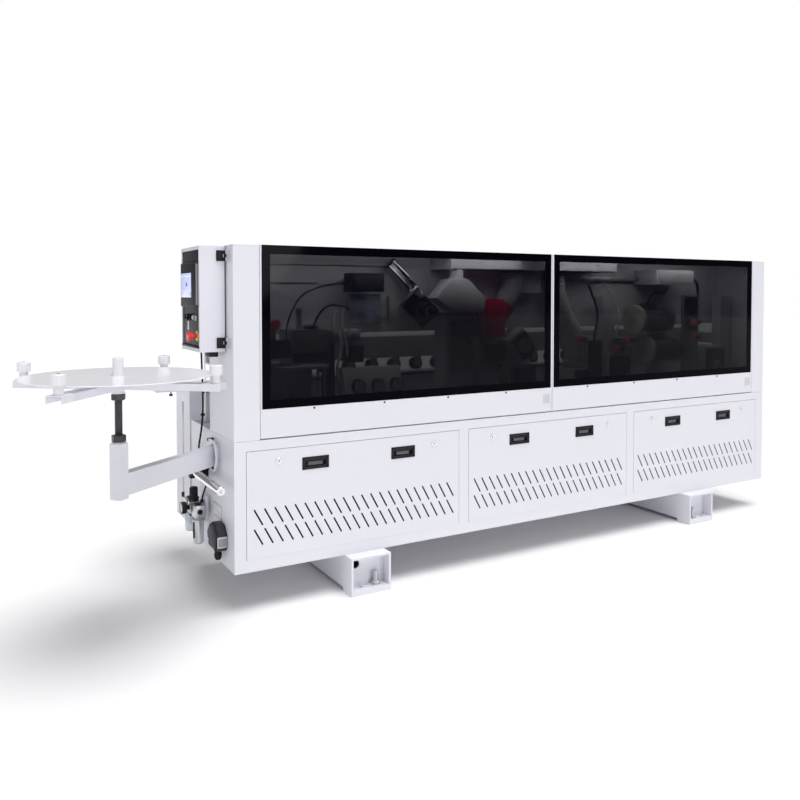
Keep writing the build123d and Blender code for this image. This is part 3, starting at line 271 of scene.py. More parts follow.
@dataclass(frozen=True)
class Slab:
    """Block with eased edges, turned by tilt degrees in the front view about its middle."""

    x: Span
    y: Span
    z: Span
    finish: Finish
    ease: float = 1.5
    tilt: float = 0.0

    def build(self) -> bpy.types.Object:
        """Model the block and return it in place."""
        sides = cube(self.x, self.y, self.z, self.tilt)
        edit()
        bpy.ops.mesh.bevel(offset=min(self.ease * MM, min(sides) * 0.3), segments=2, affect="EDGES")
        bpy.ops.object.mode_set(mode="OBJECT")
        return settle()


@dataclass(frozen=True)
class Turned:
    """Turned piece: steps of (radius, place along its axis) from a centre given across the axis."""

    axis: str
    centre: Span
    steps: tuple[Span, ...]
    finish: Finish
    sides: int = 40
    turn: float = 0.0

    def place(self) -> Matrix:
        """Matrix that carries the turning axis, drawn along z, to where it lies."""
        a, b = self.centre
        if self.axis == "x":
            return Matrix.Translation(at(0, a, b)) @ Matrix.Rotation(math.pi / 2, 4, "Y")
        if self.axis == "y":
            return Matrix.Translation(at(a, 0, b)) @ Matrix.Rotation(-math.pi / 2, 4, "X")
        return Matrix.Translation(at(a, b, 0)) @ Matrix.Rotation(math.radians(self.turn), 4, "Z")

    def build(self) -> bpy.types.Object:
        """Extrude and scale a disc through the steps and return it in place."""
        radius, start = self.steps[0]
        bpy.ops.mesh.primitive_circle_add(vertices=self.sides, radius=radius * MM, fill_type="NGON",
                                          location=(0, 0, 0))
        edit()
        here = start
        for wide, along in self.steps[1:]:
            bpy.ops.mesh.extrude_region_move(
                TRANSFORM_OT_translate={"value": (0, 0, (along - here) * MM)})
            if abs(wide - radius) > 1e-6:
                share = wide / radius
                bpy.ops.transform.resize(value=(share, share, 1),
                                         center_override=(0, 0, (along - start) * MM))
            radius, here = wide, along
        bpy.ops.mesh.select_all(action="SELECT")
        bpy.ops.mesh.normals_make_consistent(inside=False)
        bpy.ops.object.mode_set(mode="OBJECT")
        bpy.context.object.matrix_world = self.place() @ Matrix.Translation((0, 0, start * MM))
        return settle(25)


@dataclass(frozen=True)
class Plate:
    """Flat outline pulled through a span: across is x when the plate faces y, or y when it faces x."""

    faces: str
    outline: tuple[Span, ...]
    through: Span
    finish: Finish
    ease: float = 1.5

    def build(self) -> bpy.types.Object:
        """Model the plate and return it in place."""
        low, high = self.through
        if self.faces == "y":
            points, pull = [at(a, low, b) for a, b in self.outline], (0, (high - low) * MM, 0)
        else:
            points, pull = [at(low, a, b) for a, b in self.outline], ((high - low) * MM, 0, 0)
        mesh = bpy.data.meshes.new("plate")
        mesh.from_pydata(points, [], [list(range(len(points)))])
        hold("plate", mesh)
        edit()
        bpy.ops.mesh.extrude_region_move(TRANSFORM_OT_translate={"value": pull})
        bpy.ops.mesh.select_all(action="SELECT")
        bpy.ops.mesh.normals_make_consistent(inside=False)
        if self.ease:
            bpy.ops.mesh.bevel(offset=min(self.ease, (high - low) * 0.3) * MM, segments=2, affect="EDGES")
        bpy.ops.object.mode_set(mode="OBJECT")
        return settle()


@dataclass(frozen=True)
class Cup:
    """Block whose front face is hollowed to a depth, leaving a wall all round."""

    x: Span
    y: Span
    z: Span
    wall: float
    depth: float
    finish: Finish

    def build(self) -> bpy.types.Object:
        """Inset and push in the front face, and return the cup in place."""
        cube(self.x, self.y, self.z)
        edit("DESELECT")
        pick_faces(Vector((0, -1, 0)))
        bpy.ops.mesh.inset(thickness=self.wall * MM)
        bpy.ops.mesh.extrude_region_move(TRANSFORM_OT_translate={"value": (0, self.depth * MM, 0)})
        bpy.ops.mesh.inset(thickness=0.6 * MM)
        bpy.ops.object.mode_set(mode="OBJECT")
        return settle()


def smooth_path(points: list[Vector]) -> list[Vector]:
    """Points along the smooth spline that has the given control points.

    Args:
        points: control points in metres.

    Returns:
        Closely spaced points along the spline.
    """
    curve = bpy.data.curves.new("path", "CURVE")
    curve.dimensions = "3D"
    curve.resolution_u = 24
    spline = curve.splines.new("NURBS")
    spline.points.add(len(points) - 1)
    for control, point in zip(spline.points, points):
        control.co = (*point, 1)
    spline.order_u = 3
    spline.use_endpoint_u = True
    holder = hold("path", curve)
    bpy.context.view_layer.update()
    mesh = bpy.data.meshes.new_from_object(holder)
    found = [vertex.co.copy() for vertex in mesh.vertices]
    bpy.data.objects.remove(holder)
    bpy.data.meshes.remove(mesh)
    return found


@dataclass(frozen=True)
class Tube:
    """Round tube along a smooth route, plain or with ribs every pitch millimetres."""

    route: tuple[Point, ...]
    radius: float
    finish: Finish
    pitch: float = 0.0
    rib: float = 0.0
    sides: int = 16

    def build(self) -> bpy.types.Object:
        """Lay rings along the route, skin them and return the tube in place."""
        path = smooth_path([at(*point) for point in self.route])
        gaps = [(b - a).length for a, b in zip(path, path[1:])]
        total = sum(gaps)
        count = max(2, round(total / (self.pitch * MM / 4))) if self.pitch else len(path)
        rings, index, passed = [], 0, 0.0
        for step in range(count + 1):
            along = total * step / count
            while index < len(gaps) - 1 and passed + gaps[index] < along:
                passed += gaps[index]
                index += 1
            share = min(1, (along - passed) / max(gaps[index], 1e-9))
            rings.append((path[index].lerp(path[index + 1], share), along))
        middles = [ring[0] for ring in rings]
        ahead = (middles[1] - middles[0]).normalized()
        side = ahead.orthogonal().normalized()
        vertices, faces = [], []
        for number, (middle, along) in enumerate(rings):
            before, after = middles[max(number - 1, 0)], middles[min(number + 1, count)]
            now = (after - before).normalized()
            side = (ahead.rotation_difference(now) @ side).normalized()
            ahead = now
            other = now.cross(side)
            swell = self.rib * math.cos(2 * math.pi * along / (self.pitch * MM)) if self.pitch else 0
            reach = (self.radius + swell) * MM
            for k in range(self.sides):
                angle = 2 * math.pi * k / self.sides
                vertices.append(middle + (side * math.cos(angle) + other * math.sin(angle)) * reach)
        for number in range(count):
            for k in range(self.sides):
                a, b = number * self.sides + k, number * self.sides + (k + 1) % self.sides
                faces.append((a, b, b + self.sides, a + self.sides))
        faces.append(tuple(reversed(range(self.sides))))
        faces.append(tuple(range(count * self.sides, (count + 1) * self.sides)))
        mesh = bpy.data.meshes.new("tube")
        mesh.from_pydata(vertices, [], faces)
        hold("tube", mesh)
        return settle(60)


Shape = Slab | Turned | Plate | Cup | Tube


def assemble(name: str, body: str, shapes: list[Shape], replaces: tuple[str, ...] = (),
             bend: tuple[str, Vector, Vector] | None = None) -> bpy.types.Object:
    """Build the shapes of one piece, join them and let the piece ride on its body unless bend is given.

    Args:
        name: the piece's name.
        body: the CAD body that carries it.
        shapes: what it is made of, each in its own finish.
        replaces: CAD nodes that it stands for.
        bend: second body and two points; when given, the piece's place is baked into its mesh and it rides
            on no body; the second body and the points are not used.

    Returns:
        The joined piece.
    """
    parts = []
    for shape in shapes:
        clear_selection()
        made = shape.build()
        made.data.materials.clear()
        made.data.materials.append(shape.finish.material())
        parts.append(made)
    clear_selection()
    for part in parts:
        part.select_set(True)
    bpy.context.view_layer.objects.active = parts[0]
    if len(parts) > 1:
        bpy.ops.object.join()
    piece = bpy.context.view_layer.objects.active
    piece.name = piece.data.name = name
    if bend:
        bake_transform(piece)
    else:
        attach(piece, body)
    if replaces:
        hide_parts(*replaces)
    log.info("%s: %d shapes, %d faces", name, len(shapes), len(piece.data.polygons))
    clear_selection()
    return piece


def dress(finish: Finish, *names: str, ease: float = 0.0) -> None:
    """Give CAD nodes a finish, and ease their edges with modifiers where ease is given.

    Args:
        finish: the finish.
        names: the CAD nodes.
        ease: width of the eased edges in millimetres.
    """
    for name in names:
        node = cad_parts[name]
        node.data.materials.clear()
        node.data.materials.append(finish.material())
        if ease:
            weld = node.modifiers.new("weld", "WELD")
            weld.merge_threshold = WELD_GAP
            flat = node.modifiers.new("flat", "DECIMATE")
            flat.decimate_type = "DISSOLVE"
            flat.angle_limit = math.radians(1)
            bevel = node.modifiers.new("ease", "BEVEL")
            bevel.width = ease * MM
            bevel.segments = 2
            bevel.limit_method = "ANGLE"
            bevel.angle_limit = math.radians(40)
            bevel.harden_normals = True


def bolts(places: list[Span], y: float, radius: float, height: float, finish: Finish) -> list[Shape]:
    """Round bolt heads with a hex recess, standing forward of a front-facing surface at y."""
    return [Turned("y", place, ((radius, y), (radius, y - height * 0.8), (radius * 0.85, y - height),
                                (radius * 0.5, y - height), (radius * 0.5, y - height * 0.5)), finish, 16)
            for place in places]


# ---------------------------------------------------------------- cabinet and hood
@dataclass
class Cabinet:
    """White sheet-metal body: feet, frame, panels and hood sheets."""

    ease: float = 0.9
    plate_z: Span = (195.0, 258.0)
    drain: Span = (-50.0, 700.0)
    pin: Span = (-116.0, 664.0)

    def dress(self) -> None:
        """Finish the sheet-metal CAD nodes."""
        dress(WHITE_PAINT, "foot_beam_left", "foot_beam_right", "front_frame", "cabinet_panels",
              "hood_columns", "hood_panels", "lower_panel_left", "lower_panel_centre",
              "lower_panel_right", "hood_door_left", "hood_door_right", "outboard_support",
              "reel_arm", "reel_cross", "control_box", ease=self.ease)
        dress(BED_PAINT, "machine_bed")
        dress(PALE_PAINT, "pressure_beam", "beam_posts", ease=self.ease)
        dress(BARE_STEEL, "levelling_screws", "hood_hinges", ease=0.4)
        dress(RUBBER, "pressure_rollers", ease=1.0)
        dress(BLACK_STEEL, "reel_arm_fasteners", ease=0.8)
        dress(PALE_PAINT, "control_box_hinges", ease=0.4)

    def trim(self) -> None:
        """Blank plate on the infeed end, drain tube behind it and pin under the shelf."""
        low, high = self.plate_z
        end_plate = [
            Slab((-0.8, -0.1), (190, 318), (low, high), GREY_PLASTIC, 0.3),
            Slab((-1.1, -0.8), (194, 314), (low + 4, high - 4), WHITE_PLASTIC, 0.1),
        ]
        assemble("blank_rating_plate", "machine_frame", end_plate)
        rod = [
            Turned("z", self.drain, ((6, 222), (6, 690)), WHITE_PLASTIC, 20),
            Turned("z", self.drain, ((4, 196), (7.5, 200), (7.5, 220), (6.5, 224)), BLACK_PLASTIC, 20),
            Turned("z", self.pin, ((3, 749), (3, 738), (9, 737), (9, 729), (7, 727)), BLACK_PLASTIC, 20),
        ]
        assemble("drain_tube_and_shelf_pin", "machine_frame", rod)


@dataclass
class DoorGlass:
    """Tinted pane of one hood door with its black border, screws and corner tab."""

    side: str
    border: float = 40.0
    screw_inset: float = 260.0
    screw_pitch: float = 370.0
    screw_count: int = 4
    screw_height: float = 716.0

    def build(self) -> None:
        """Model the pane and dress the door."""
        clear_selection()
        cube(*spans(f"door_glass_{self.side}"))
        pane = bpy.context.object
        pane.data.materials.append(FRIT.material())
        pane.data.materials.append(GLASS.material())
        for facing in (-1, 1):
            edit("DESELECT")
            pick_faces(Vector((0, facing, 0)))
            bpy.ops.mesh.inset(thickness=self.border * MM)
            bpy.ops.object.mode_set(mode="OBJECT")
            for face in pane.data.polygons:
                if face.select:
                    face.material_index = 1
        pane.name = pane.data.name = f"door_pane_{self.side}"
        body = f"{self.side}_door"
        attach(pane, body)
        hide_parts(f"door_glass_{self.side}")
        log.info("%s", pane.name)
        left, right = spans(f"hood_door_{self.side}")[0]
        places = [(left + self.screw_inset + i * self.screw_pitch, self.screw_height)
                  for i in range(self.screw_count)]
        shapes = bolts(places, 0, 5, 2.5, BLACK_STEEL)
        shapes += [Slab((right - 70, right - 10), (-1.2, 0), (636, 698), WHITE_PAINT, 0.5),
                   Slab((right - 64, right - 16), (-1.8, -1.2), (642, 692), PALE_PAINT, 0.3)]
        assemble(f"door_screws_{self.side}", body, shapes)


@dataclass
class LiftOffPanel:
    """Recessed pull handles, a black sheet of painted shade behind the slots and quarter-turn locks of one
    lower panel.
    """

    side: str
    width: float = 134.0
    rim: float = 9.0
    wall: float = 3.0
    rim_y: Span = (-3.0, -0.2)

    def build(self) -> None:
        """Model the handles, a black sheet behind the slots as painted shade, and the locks over their CAD
        nodes.
        """
        (left, right), _, (low, high) = spans(f"pull_handles_{self.side}")
        shapes: list[Shape] = []
        for start in (left, right - self.width):
            end = start + self.width
            x0, x1, z0, z1 = start + self.rim, end - self.rim, low + self.rim, high - self.rim
            shapes.append(Cup((x0, x1), (-0.5, 23.5), (z0, z1), self.wall, 20, DARK_PLASTIC))
            shapes += [Slab(x, self.rim_y, z, BLACK_PLASTIC, 1.2) for x, z in (
                ((start, end), (z1 - 1, high)), ((start, end), (low, z0 + 1)),
                ((start, x0 + 1), (low + 2, high - 2)), ((x1 - 1, end), (low + 2, high - 2)))]
            shapes += [Slab((x0 + 3, x1 - 3), (1, 5), (z1 - 14, z1 - 2), BLACK_PLASTIC, 1.5),
                       Slab((x0 + 22, x1 - 22), (4, 8), (z0 + 8, z1 - 15), GREY_MOULDING, 1.5)]
        left, right = spans(f"lower_panel_{self.side}")[0]
        # Black sheet behind the panel's slots: painted shade, so the slots read dark instead of showing the
        # lit white cabinet inside.
        shapes.append(Slab((left + 25, right - 25), (5, 9), (90, 305), BLACK_PLASTIC, 1))
        assemble(f"handles_and_slot_shade_{self.side}", f"{self.side}_panel", shapes,
                 (f"pull_handles_{self.side}",))
        for end in ("left", "right"):
            node = f"panel_lock_{self.side}_{end}"
            (x0, x1), _, (z0, _) = spans(node)
            x, z = (x0 + x1) / 2, z0 + (x1 - x0) / 2
            lock = [
                Turned("y", (x, z), ((10, 14), (10, -0.3), (15, -0.3), (15, -2.2), (14, -3), (11.5, -3),
                                     (11, -2.4), (6, -2.4)), CHROME, 36),
                Slab((x - 1.6, x + 1.6), (-2.9, -2.3), (z - 6, z + 6), BLACK_STEEL, 0.2),
                Slab((x - 6, x + 6), (14, 17), (z - 6, z + 34), BARE_STEEL, 1),
            ]
            assemble(f"quarter_turn_lock_{self.side}_{end}", node, lock, (node,))


# ---------------------------------------------------------------- tape reel
@dataclass
class TapeReel:
    """Turntable for the coil of edge tape: disc, hub, guide rollers and threaded post."""

    thread_pitch: float = 5.0
    thread_depth: float = 1.2
    thread_start: float = 640.0
    nut: Span = (824.0, 850.0)
    neck: float = 17.0
    neck_length: float = 34.0

    def build(self) -> None:
        """Model the reel's moving pieces."""
        (x0, x1), (y0, y1), (low, high) = spans("reel_disc")
        centre = ((x0 + x1) / 2, (y0 + y1) / 2)
        radius = (x1 - x0) / 2
        disc = [Turned("z", centre, ((radius - 1.5, low), (radius, low + 1.2), (radius, high - 1.2),
                                     (radius - 1.5, high)), TURNTABLE, 160)]
        assemble("turntable_disc", "reel_turntable", disc, ("reel_disc",))
        hub_low, hub_top = spans("reel_hub")[2]
        hub = [
            Turned("z", centre, ((43, hub_low), (45, hub_low + 2), (45, low - 2), (44, low - 0.2)),
                   WHITE_PLASTIC, 64),
            Turned("z", centre, ((20, high + 0.1), (20, high + 1), (21, high + 1), (21, hub_top - 3),
                                 (18, hub_top), (9, hub_top), (9, hub_top - 4)), WHITE_PLASTIC, 64),
            Turned("z", centre, ((7, hub_top - 4), (7, hub_top - 0.5), (5.5, hub_top)), BARE_STEEL, 6),
        ]
        assemble("turntable_hub", "reel_turntable", hub, ("reel_hub",))
        for number in range(1, 5):
            node = f"guide_roller_{number}"
            (rx0, rx1), (ry0, ry1), (base, top) = spans(node)
            place = ((rx0 + rx1) / 2, (ry0 + ry1) / 2)
            neck, head, shoulder = self.neck, (rx1 - rx0) / 2, base + self.neck_length
            roller = [
                Turned("z", place, ((neck - 2, base), (neck, base + 2), (neck, shoulder),
                                    (head - 3, shoulder), (head, shoulder + 3), (head, top - 3),
                                    (head - 3, top), (9, top), (8, top - 3)), WHITE_PLASTIC, 48),
                Turned("z", place, ((6.5, top - 3), (6.5, top + 1), (5.5, top + 2)), BARE_STEEL, 6),
            ]
            assemble(f"tape_guide_roller_{number}", node, roller, (node,))
        self.spindle(centre)

    def spindle(self, centre: Span) -> None:
        """Threaded rod with its lock nut and collar."""
        (nut_low, collar_low), cross = self.nut, spans("reel_cross")[2][1] - 3
        steps: list[Span] = [(14.5, spans("reel_spindle")[2][0])]
        height = self.thread_start
        while height < nut_low:
            steps += [(15, height), (15 - self.thread_depth, height + self.thread_pitch / 2)]
            height += self.thread_pitch
        shapes: list[Shape] = [
            Turned("z", centre, tuple(steps), BLACK_STEEL, 28),
            Turned("z", centre, ((25, nut_low), (28, nut_low + 3), (28, collar_low - 3), (25, collar_low)),
                   BLACK_STEEL, 6, turn=38),
            Turned("z", centre, ((26, collar_low), (26, collar_low + 3), (22, collar_low + 3), (22, cross)),
                   WHITE_PLASTIC, 40),
        ]
        assemble("threaded_reel_post", "reel_stand", shapes, ("reel_spindle",))


# ---------------------------------------------------------------- control box
@dataclass
class ControlBox:
    """Black operator panel with its screen, switches and emergency stop."""

    face: float = -118.0
    hmi_y: Span = (120.0, 386.0)
    hmi_z: Span = (1185.0, 1385.0)
    screen_y: Span = (196.0, 376.0)
    screen_z: Span = (1227.0, 1338.0)
    stop: Span = (148.0, 1055.0)
    selector: Span = (246.0, 1138.0)
    start: Span = (172.0, 1138.0)
    pilot: Span = (320.0, 1138.0)
    hinges: Span = (1000.0, 1389.0)

    def ring(self, place: Span, radius: float, finish: Finish, proud: float = 2.5) -> Turned:
        """Flat collar round a control, standing off the panel."""
        return Turned("x", place, ((radius, self.face), (radius, self.face - proud * 0.6),
                                   (radius - 1, self.face - proud)), finish, 40)

    def build(self) -> None:
        """Model the panel, the screen and each control."""
        body, face = "control_station", self.face
        _, (y0, y1), (z0, z1) = spans("control_panel")
        panel: list[Shape] = [Slab((face, face + 3), (y0, y1), (z0, z1), BLACK_PAINT, 0.6)]
        (h0, h1), (v0, v1) = self.hmi_y, self.hmi_z
        panel += [
            Slab((face - 13, face), (h0, h1), (v0, v1), DARK_PLASTIC, 3),
            Slab((face - 13.6, face - 12.8), (h0 + 6, h1 - 6), (v0 + 6, v1 - 6), BLACK_PLASTIC, 0.4),
            Slab((face - 12.6, face - 0.6), (h0 - 0.8, h0 + 0.4), (v0 + 8, v1 - 8), GREY_PLASTIC, 0.3),
        ]
        panel += [Slab((face - 1.8, face + 0.5), (y0 + 40, y1 - 40), (z, z + 4), DARK_PLASTIC, 0.8)
                  for z in range(1396, 1441, 8)]
        panel += [self.ring(self.stop, 24, YELLOW_PLASTIC), self.ring(self.start, 15, CHROME),
                  self.ring(self.selector, 16, BLACK_PLASTIC), self.ring(self.pilot, 15, BLACK_PLASTIC),
                  Turned("x", self.pilot, ((11, face - 2), (11, face - 12), (9.5, face - 14)),
                         BLACK_PLASTIC, 32)]
        panel += [Slab((face - 1.2, face), (286, 310), (1078, 1118), WHITE_PLASTIC, 0.3),
                  Slab((face - 7, face), (y0 + 8, y1 - 12), (1000, 1010), BLACK_PAINT, 1.5)]
        assemble("operator_panel", body, panel, ("control_panel",))
        (h0, h1), (v0, v1), glass = self.screen_y, self.screen_z, face - 13.8
        screen: list[Shape] = [Slab((glass, glass + 2), (h0, h1), (v0, v1), SCREEN, 0.3)]
        screen += [Slab((glass - 0.3, glass), y, z, finish, 0.1) for y, z, finish in (
            ((h0 + 4, h1 - 4), (v1 - 16, v1 - 12), SCREEN_BAR),
            ((h0 + 70, h0 + 92), (v0 + 50, v0 + 68), SCREEN_ICON),
            ((h0 + 4, h0 + 22), (v0 + 6, v0 + 24), CREAM_PLASTIC),
            ((h0 + 60, h1 - 20), (v0 + 26, v0 + 28), SCREEN_BAR))]
        assemble("operator_screen", body, screen, ("touch_screen",))
        stop = [Turned("x", self.stop, ((10, face + 14), (10, face - 18), (15, face - 20), (15, face - 31),
                                        (20, face - 33), (22.5, face - 37), (22.5, face - 41),
                                        (20, face - 44), (12, face - 45)), RED_PLASTIC, 48)]
        assemble("emergency_stop_head", "emergency_stop", stop, ("emergency_stop",))
        y, z = self.selector
        knob = [Turned("x", self.selector, ((7, face + 14), (7, face - 2.6), (15, face - 2.8),
                                            (15, face - 9), (13.5, face - 11)), BLACK_PLASTIC, 40),
                Slab((face - 22, face - 10.5), (y - 4, y + 4), (z - 14, z + 14), BLACK_PLASTIC, 2),
                Slab((face - 22.3, face - 22), (y - 0.7, y + 0.7), (z + 1, z + 12), WHITE_PLASTIC, 0.1)]
        assemble("selector_knob", "selector", knob, ("selector_switch",))
        start = [Turned("x", self.start, ((8, face + 14), (8, face - 6), (11, face - 6), (11, face - 14),
                                          (9.5, face - 16)), BARE_STEEL, 36)]
        assemble("start_button_cap", "start_button", start, ("start_button",))
        under: list[Shape] = [Slab((-62, -22), (150, 228), (958, 983.4), BLACK_PLASTIC, 3),
                              Plate("x", ((140, 983), (232, 983), (224, 960), (160, 972)), (-48, -30),
                                    BLACK_PLASTIC, 1)]
        under += [Slab((-46, -14), (87, 94.8), (z, z + 48), BLACK_PLASTIC, 2) for z in self.hinges]
        caps = [Turned("z", (-8, 87), ((5.6, z), (6.4, z + 1), (6.4, z + 47), (5.6, z + 48)),
                       BLACK_PLASTIC, 28) for z in self.hinges]
        assemble("hinge_knuckle_covers", "machine_frame", caps)
        assemble("box_underside_glands", body, under)


# ---------------------------------------------------------------- infeed end
@dataclass
class InfeedFittings:
    """Air preparation unit, power inlet, guide bar and the lines at the infeed end."""

    air_x: float = -60.0
    air_low: float = 171.0
    air_high: float = 243.0
    bowls: tuple[Span, Span] = ((370.0, 48.0), (522.0, 70.0))
    knob_y: float = 453.0
    knob_ribs: int = 18
    inlet_low: float = 78.0

    def push_fitting(self, y: float, z: float) -> Turned:
        """Round push-in fitting on the end plate."""
        return Turned("x", (y, z), ((8, -0.4), (8, -24), (6, -28)), BLACK_PLASTIC, 20)

    def bowl(self, y: float, low: float, finish: Finish) -> Turned:
        """Bowl with a rounded foot and a drain, hanging from the unit."""
        return Turned("z", (self.air_x, y), (
            (27.5, self.air_low), (27.5, self.air_low - 12), (26, self.air_low - 14), (24.5, low + 16),
            (22, low + 6), (16, low + 1), (7, low), (6, low + 0.5)), finish, 48)

    def air_unit(self) -> None:
        """Filter, regulator and lubricator in a row, with gauge and fittings."""
        x, low, high, knob_y = self.air_x, self.air_low, self.air_high, self.knob_y
        front, rear = self.bowls
        gauge_place, front_y = (knob_y, 207), front[0]
        shapes: list[Shape] = [self.bowl(*front, ALUMINIUM), self.bowl(*rear, BOWL_GLASS)]
        for y in (front_y, rear[0]):
            shapes += [Slab((x - 26, x + 26), (y - 28, y + 28), (low + 6, high - 6), ALUMINIUM, 5),
                       Turned("z", (x, y), ((29, low + 8), (29.5, low + 4), (29.5, low - 4), (28, low - 6)),
                              GREY_PLASTIC, 40),
                       Turned("z", (x, y), ((15, high - 7), (15, high - 1), (12, high)), BLACK_PLASTIC, 28)]
        shapes += [
            Slab((x - 24, x + 24), (knob_y - 26, knob_y + 26), (low + 8, high - 8), ALUMINIUM, 4),
            Turned("z", (x, knob_y), ((22, low + 9), (22, low - 4), (18, low - 8)), BLACK_PLASTIC, 36),
            Turned("z", (x, knob_y), ((24, high - 9), (24, high), (7, high), (7, high + 40)),
                   BLACK_STEEL, 36),
            Slab((x + 24, 0), (knob_y - 30, knob_y + 30), (low + 15, high - 15), BARE_STEEL, 1),
        ]
        for y in (412, 494):
            shapes.append(Slab((x - 21, x + 21), (y - 14, y + 14), (low + 12, high - 12), BLACK_PLASTIC, 2))
        shapes += [
            Slab((x - 27.5, x - 24), (front_y - 14, front_y - 4), (low - 92, low - 14), BLACK_PLASTIC, 1),
            Turned("y", (x, 207), ((13, front_y - 27), (13, front_y - 34), (9, front_y - 36)),
                   BLACK_PLASTIC, 6),
            Turned("z", (x - 4, front_y - 20), ((8, 171), (8, 200), (5, 204)), BLACK_PLASTIC, 20),
            Turned("z", (-20, 372), ((9, 150), (9, 268), (7, 272)), WHITE_PLASTIC, 24),
            Turned("x", gauge_place, ((12, x - 24), (12, x - 38), (25, x - 38), (29, x - 42), (29, x - 54),
                                      (27.5, x - 54), (27.5, x - 56), (29, x - 56), (29, x - 60),
                                      (27, x - 62), (25, x - 62), (25, x - 60)), BLACK_PLASTIC, 48),
            Turned("x", gauge_place, ((25, x - 59.9), (25, x - 60.2)), DIAL, 48),
            Slab((x - 60.8, x - 60.2), (knob_y - 1, knob_y + 1), (205, 226), RED_PLASTIC, 0.2),
        ]
        assemble("air_preparation_unit", "machine_frame", shapes, ("air_unit",))
        base, top = spans("regulator_knob")[2]
        knob: list[Shape] = [Turned("z", (x, knob_y), (
            (24, base), (26, base + 2), (26, base + 9), (22, base + 12), (20, base + 14), (18.5, top - 14),
            (18.5, top - 5), (16, top - 1), (12, top)), BLACK_PLASTIC, 40)]
        for k in range(self.knob_ribs):
            turn = 2 * math.pi * k / self.knob_ribs
            knob.append(Turned("z", (x + 18.6 * math.cos(turn), knob_y + 18.6 * math.sin(turn)),
                               ((1.4, base + 15), (1.4, top - 6)), BLACK_PLASTIC, 8))
        assemble("ribbed_regulator_knob", "regulator_knob", knob, ("regulator_knob",))

    def power_inlet(self) -> None:
        """Faceted inlet housing with its grey face, screw and cable gland."""
        (x0, _), (y0, y1), (low, high) = spans("power_inlet")
        z0 = self.inlet_low
        shell = ((y0 + 6, z0 + 18), (y0 + 6, high - 42), (y0 + 46, high), (y1 - 42, high), (y1, high - 50),
                 (y1 - 28, z0), (y0 + 20, z0))
        inner = tuple((y0 + (y - y0) * 0.86 + 10, z0 + (z - z0) * 0.88 + 8) for y, z in shell)
        shapes: list[Shape] = [
            Plate("x", shell, (x0 + 12, 0), DARK_PLASTIC, 4),
            Plate("x", inner, (x0, x0 + 13), DARK_PLASTIC, 5),
            Slab((x0 + 8, -3), (y0, y0 + 7), (z0 + 20, high - 46), PALE_PAINT, 2),
            Slab((x0 + 12, -6), (y0 - 1, y0 + 1), (z0 + 26, high - 52), GREY_PLASTIC, 1),
            Turned("x", (y1 - 34, z0 + 34), ((5, x0 + 2), (5, x0 - 1), (4, x0 - 2)), WHITE_PLASTIC, 20),
            Turned("x", (y1 - 12, high - 58), ((5, x0 + 16), (5, x0 + 10), (4, x0 + 9)), WHITE_PLASTIC, 20),
            Turned("z", (-28, 157), ((18, z0 + 1), (18, z0 - 8), (16, z0 - 10), (16, z0 - 18),
                                     (18, z0 - 20), (18, z0 - 34), (14, z0 - 44), (12, low)),
                   BLACK_PLASTIC, 12),
        ]
        assemble("power_inlet_housing", "machine_frame", shapes, ("power_inlet",))

    def guide_bar(self) -> None:
        """Polished bar with a threaded end and two clamps."""
        (left, _), (near, far), (low, high) = spans("guide_bar")
        shapes: list[Shape] = [
            Turned("y", (-60, (low + high) / 2), ((18.5, far), (20, far - 1.5), (20, near + 2), (18, near),
                                                  (6.5, near), (6, near + 1), (6, near + 28)), CHROME, 56),
        ]
        for y in (410, 560):
            shapes += [Slab((left, -3), (y, y + 40), (low, high), BLACK_PAINT, 3),
                       Slab((-5, -0.2), (y - 8, y + 48), (low - 8, high + 8), BLACK_PAINT, 2)]
        assemble("board_guide_bar", "machine_frame", shapes, ("guide_bar",))

    def lines(self) -> None:
        """Cable from the control box, air hose and feed tube."""
        cable = ((-34, 392, 969.7), (-32, 394, 900), (-26, 404, 820), (-22, 414, 735), (-20, 426, 655),
                 (-20, 447, 590), (-20, 482, 526), (-18, 515, 480), (-9, 538, 446))
        box_line: list[Shape] = [
            Tube(((-34, 392, 984), *cable), 4.5, RUBBER),
            Turned("z", (-34, 392), ((9, 983.5), (9, 976), (7, 974), (6, 970)), BLACK_PLASTIC, 6),
        ]
        assemble("control_box_cable", "machine_frame", box_line,
                 bend=("control_station", at(-34, 392, 970), at(-34, 392, 850)))
        black: list[Shape] = [
            Turned("x", (541, 440), ((9, -0.4), (9, -8), (6, -14)), BLACK_PLASTIC, 20),
            Tube(((-20, 345, 421), (-20, 345, 375), (-24, 352, 331), (-36, 361, 296), (-44, 366, 259)),
                 4, RUBBER),
            self.push_fitting(345, 425),
            Turned("z", (-44, 366), ((8, 243.4), (8, 256), (5.5, 261)), BLACK_PLASTIC, 6),
            Slab((-30, -10), (418, 430), (652, 664), BLACK_PLASTIC, 2),
        ]
        assemble("cable_and_air_hose", "machine_frame", black)
        feed = tuple((-20, y, z) for y, z in ((316, 553), (276, 556), (234, 548), (205, 524), (196, 486),
                                              (205, 447), (234, 420), (275, 414), (306, 418)))
        shapes: list[Shape] = [Tube(feed, 6, TUBE_WHITE, sides=20)]
        shapes += [self.push_fitting(322, 553), self.push_fitting(306, 418)]
        shapes.append(Tube(tuple((x + 10, y - 14, z) for x, y, z in cable[:5]), 3, TUBE_WHITE))
        assemble("white_air_tubes", "machine_frame", shapes)


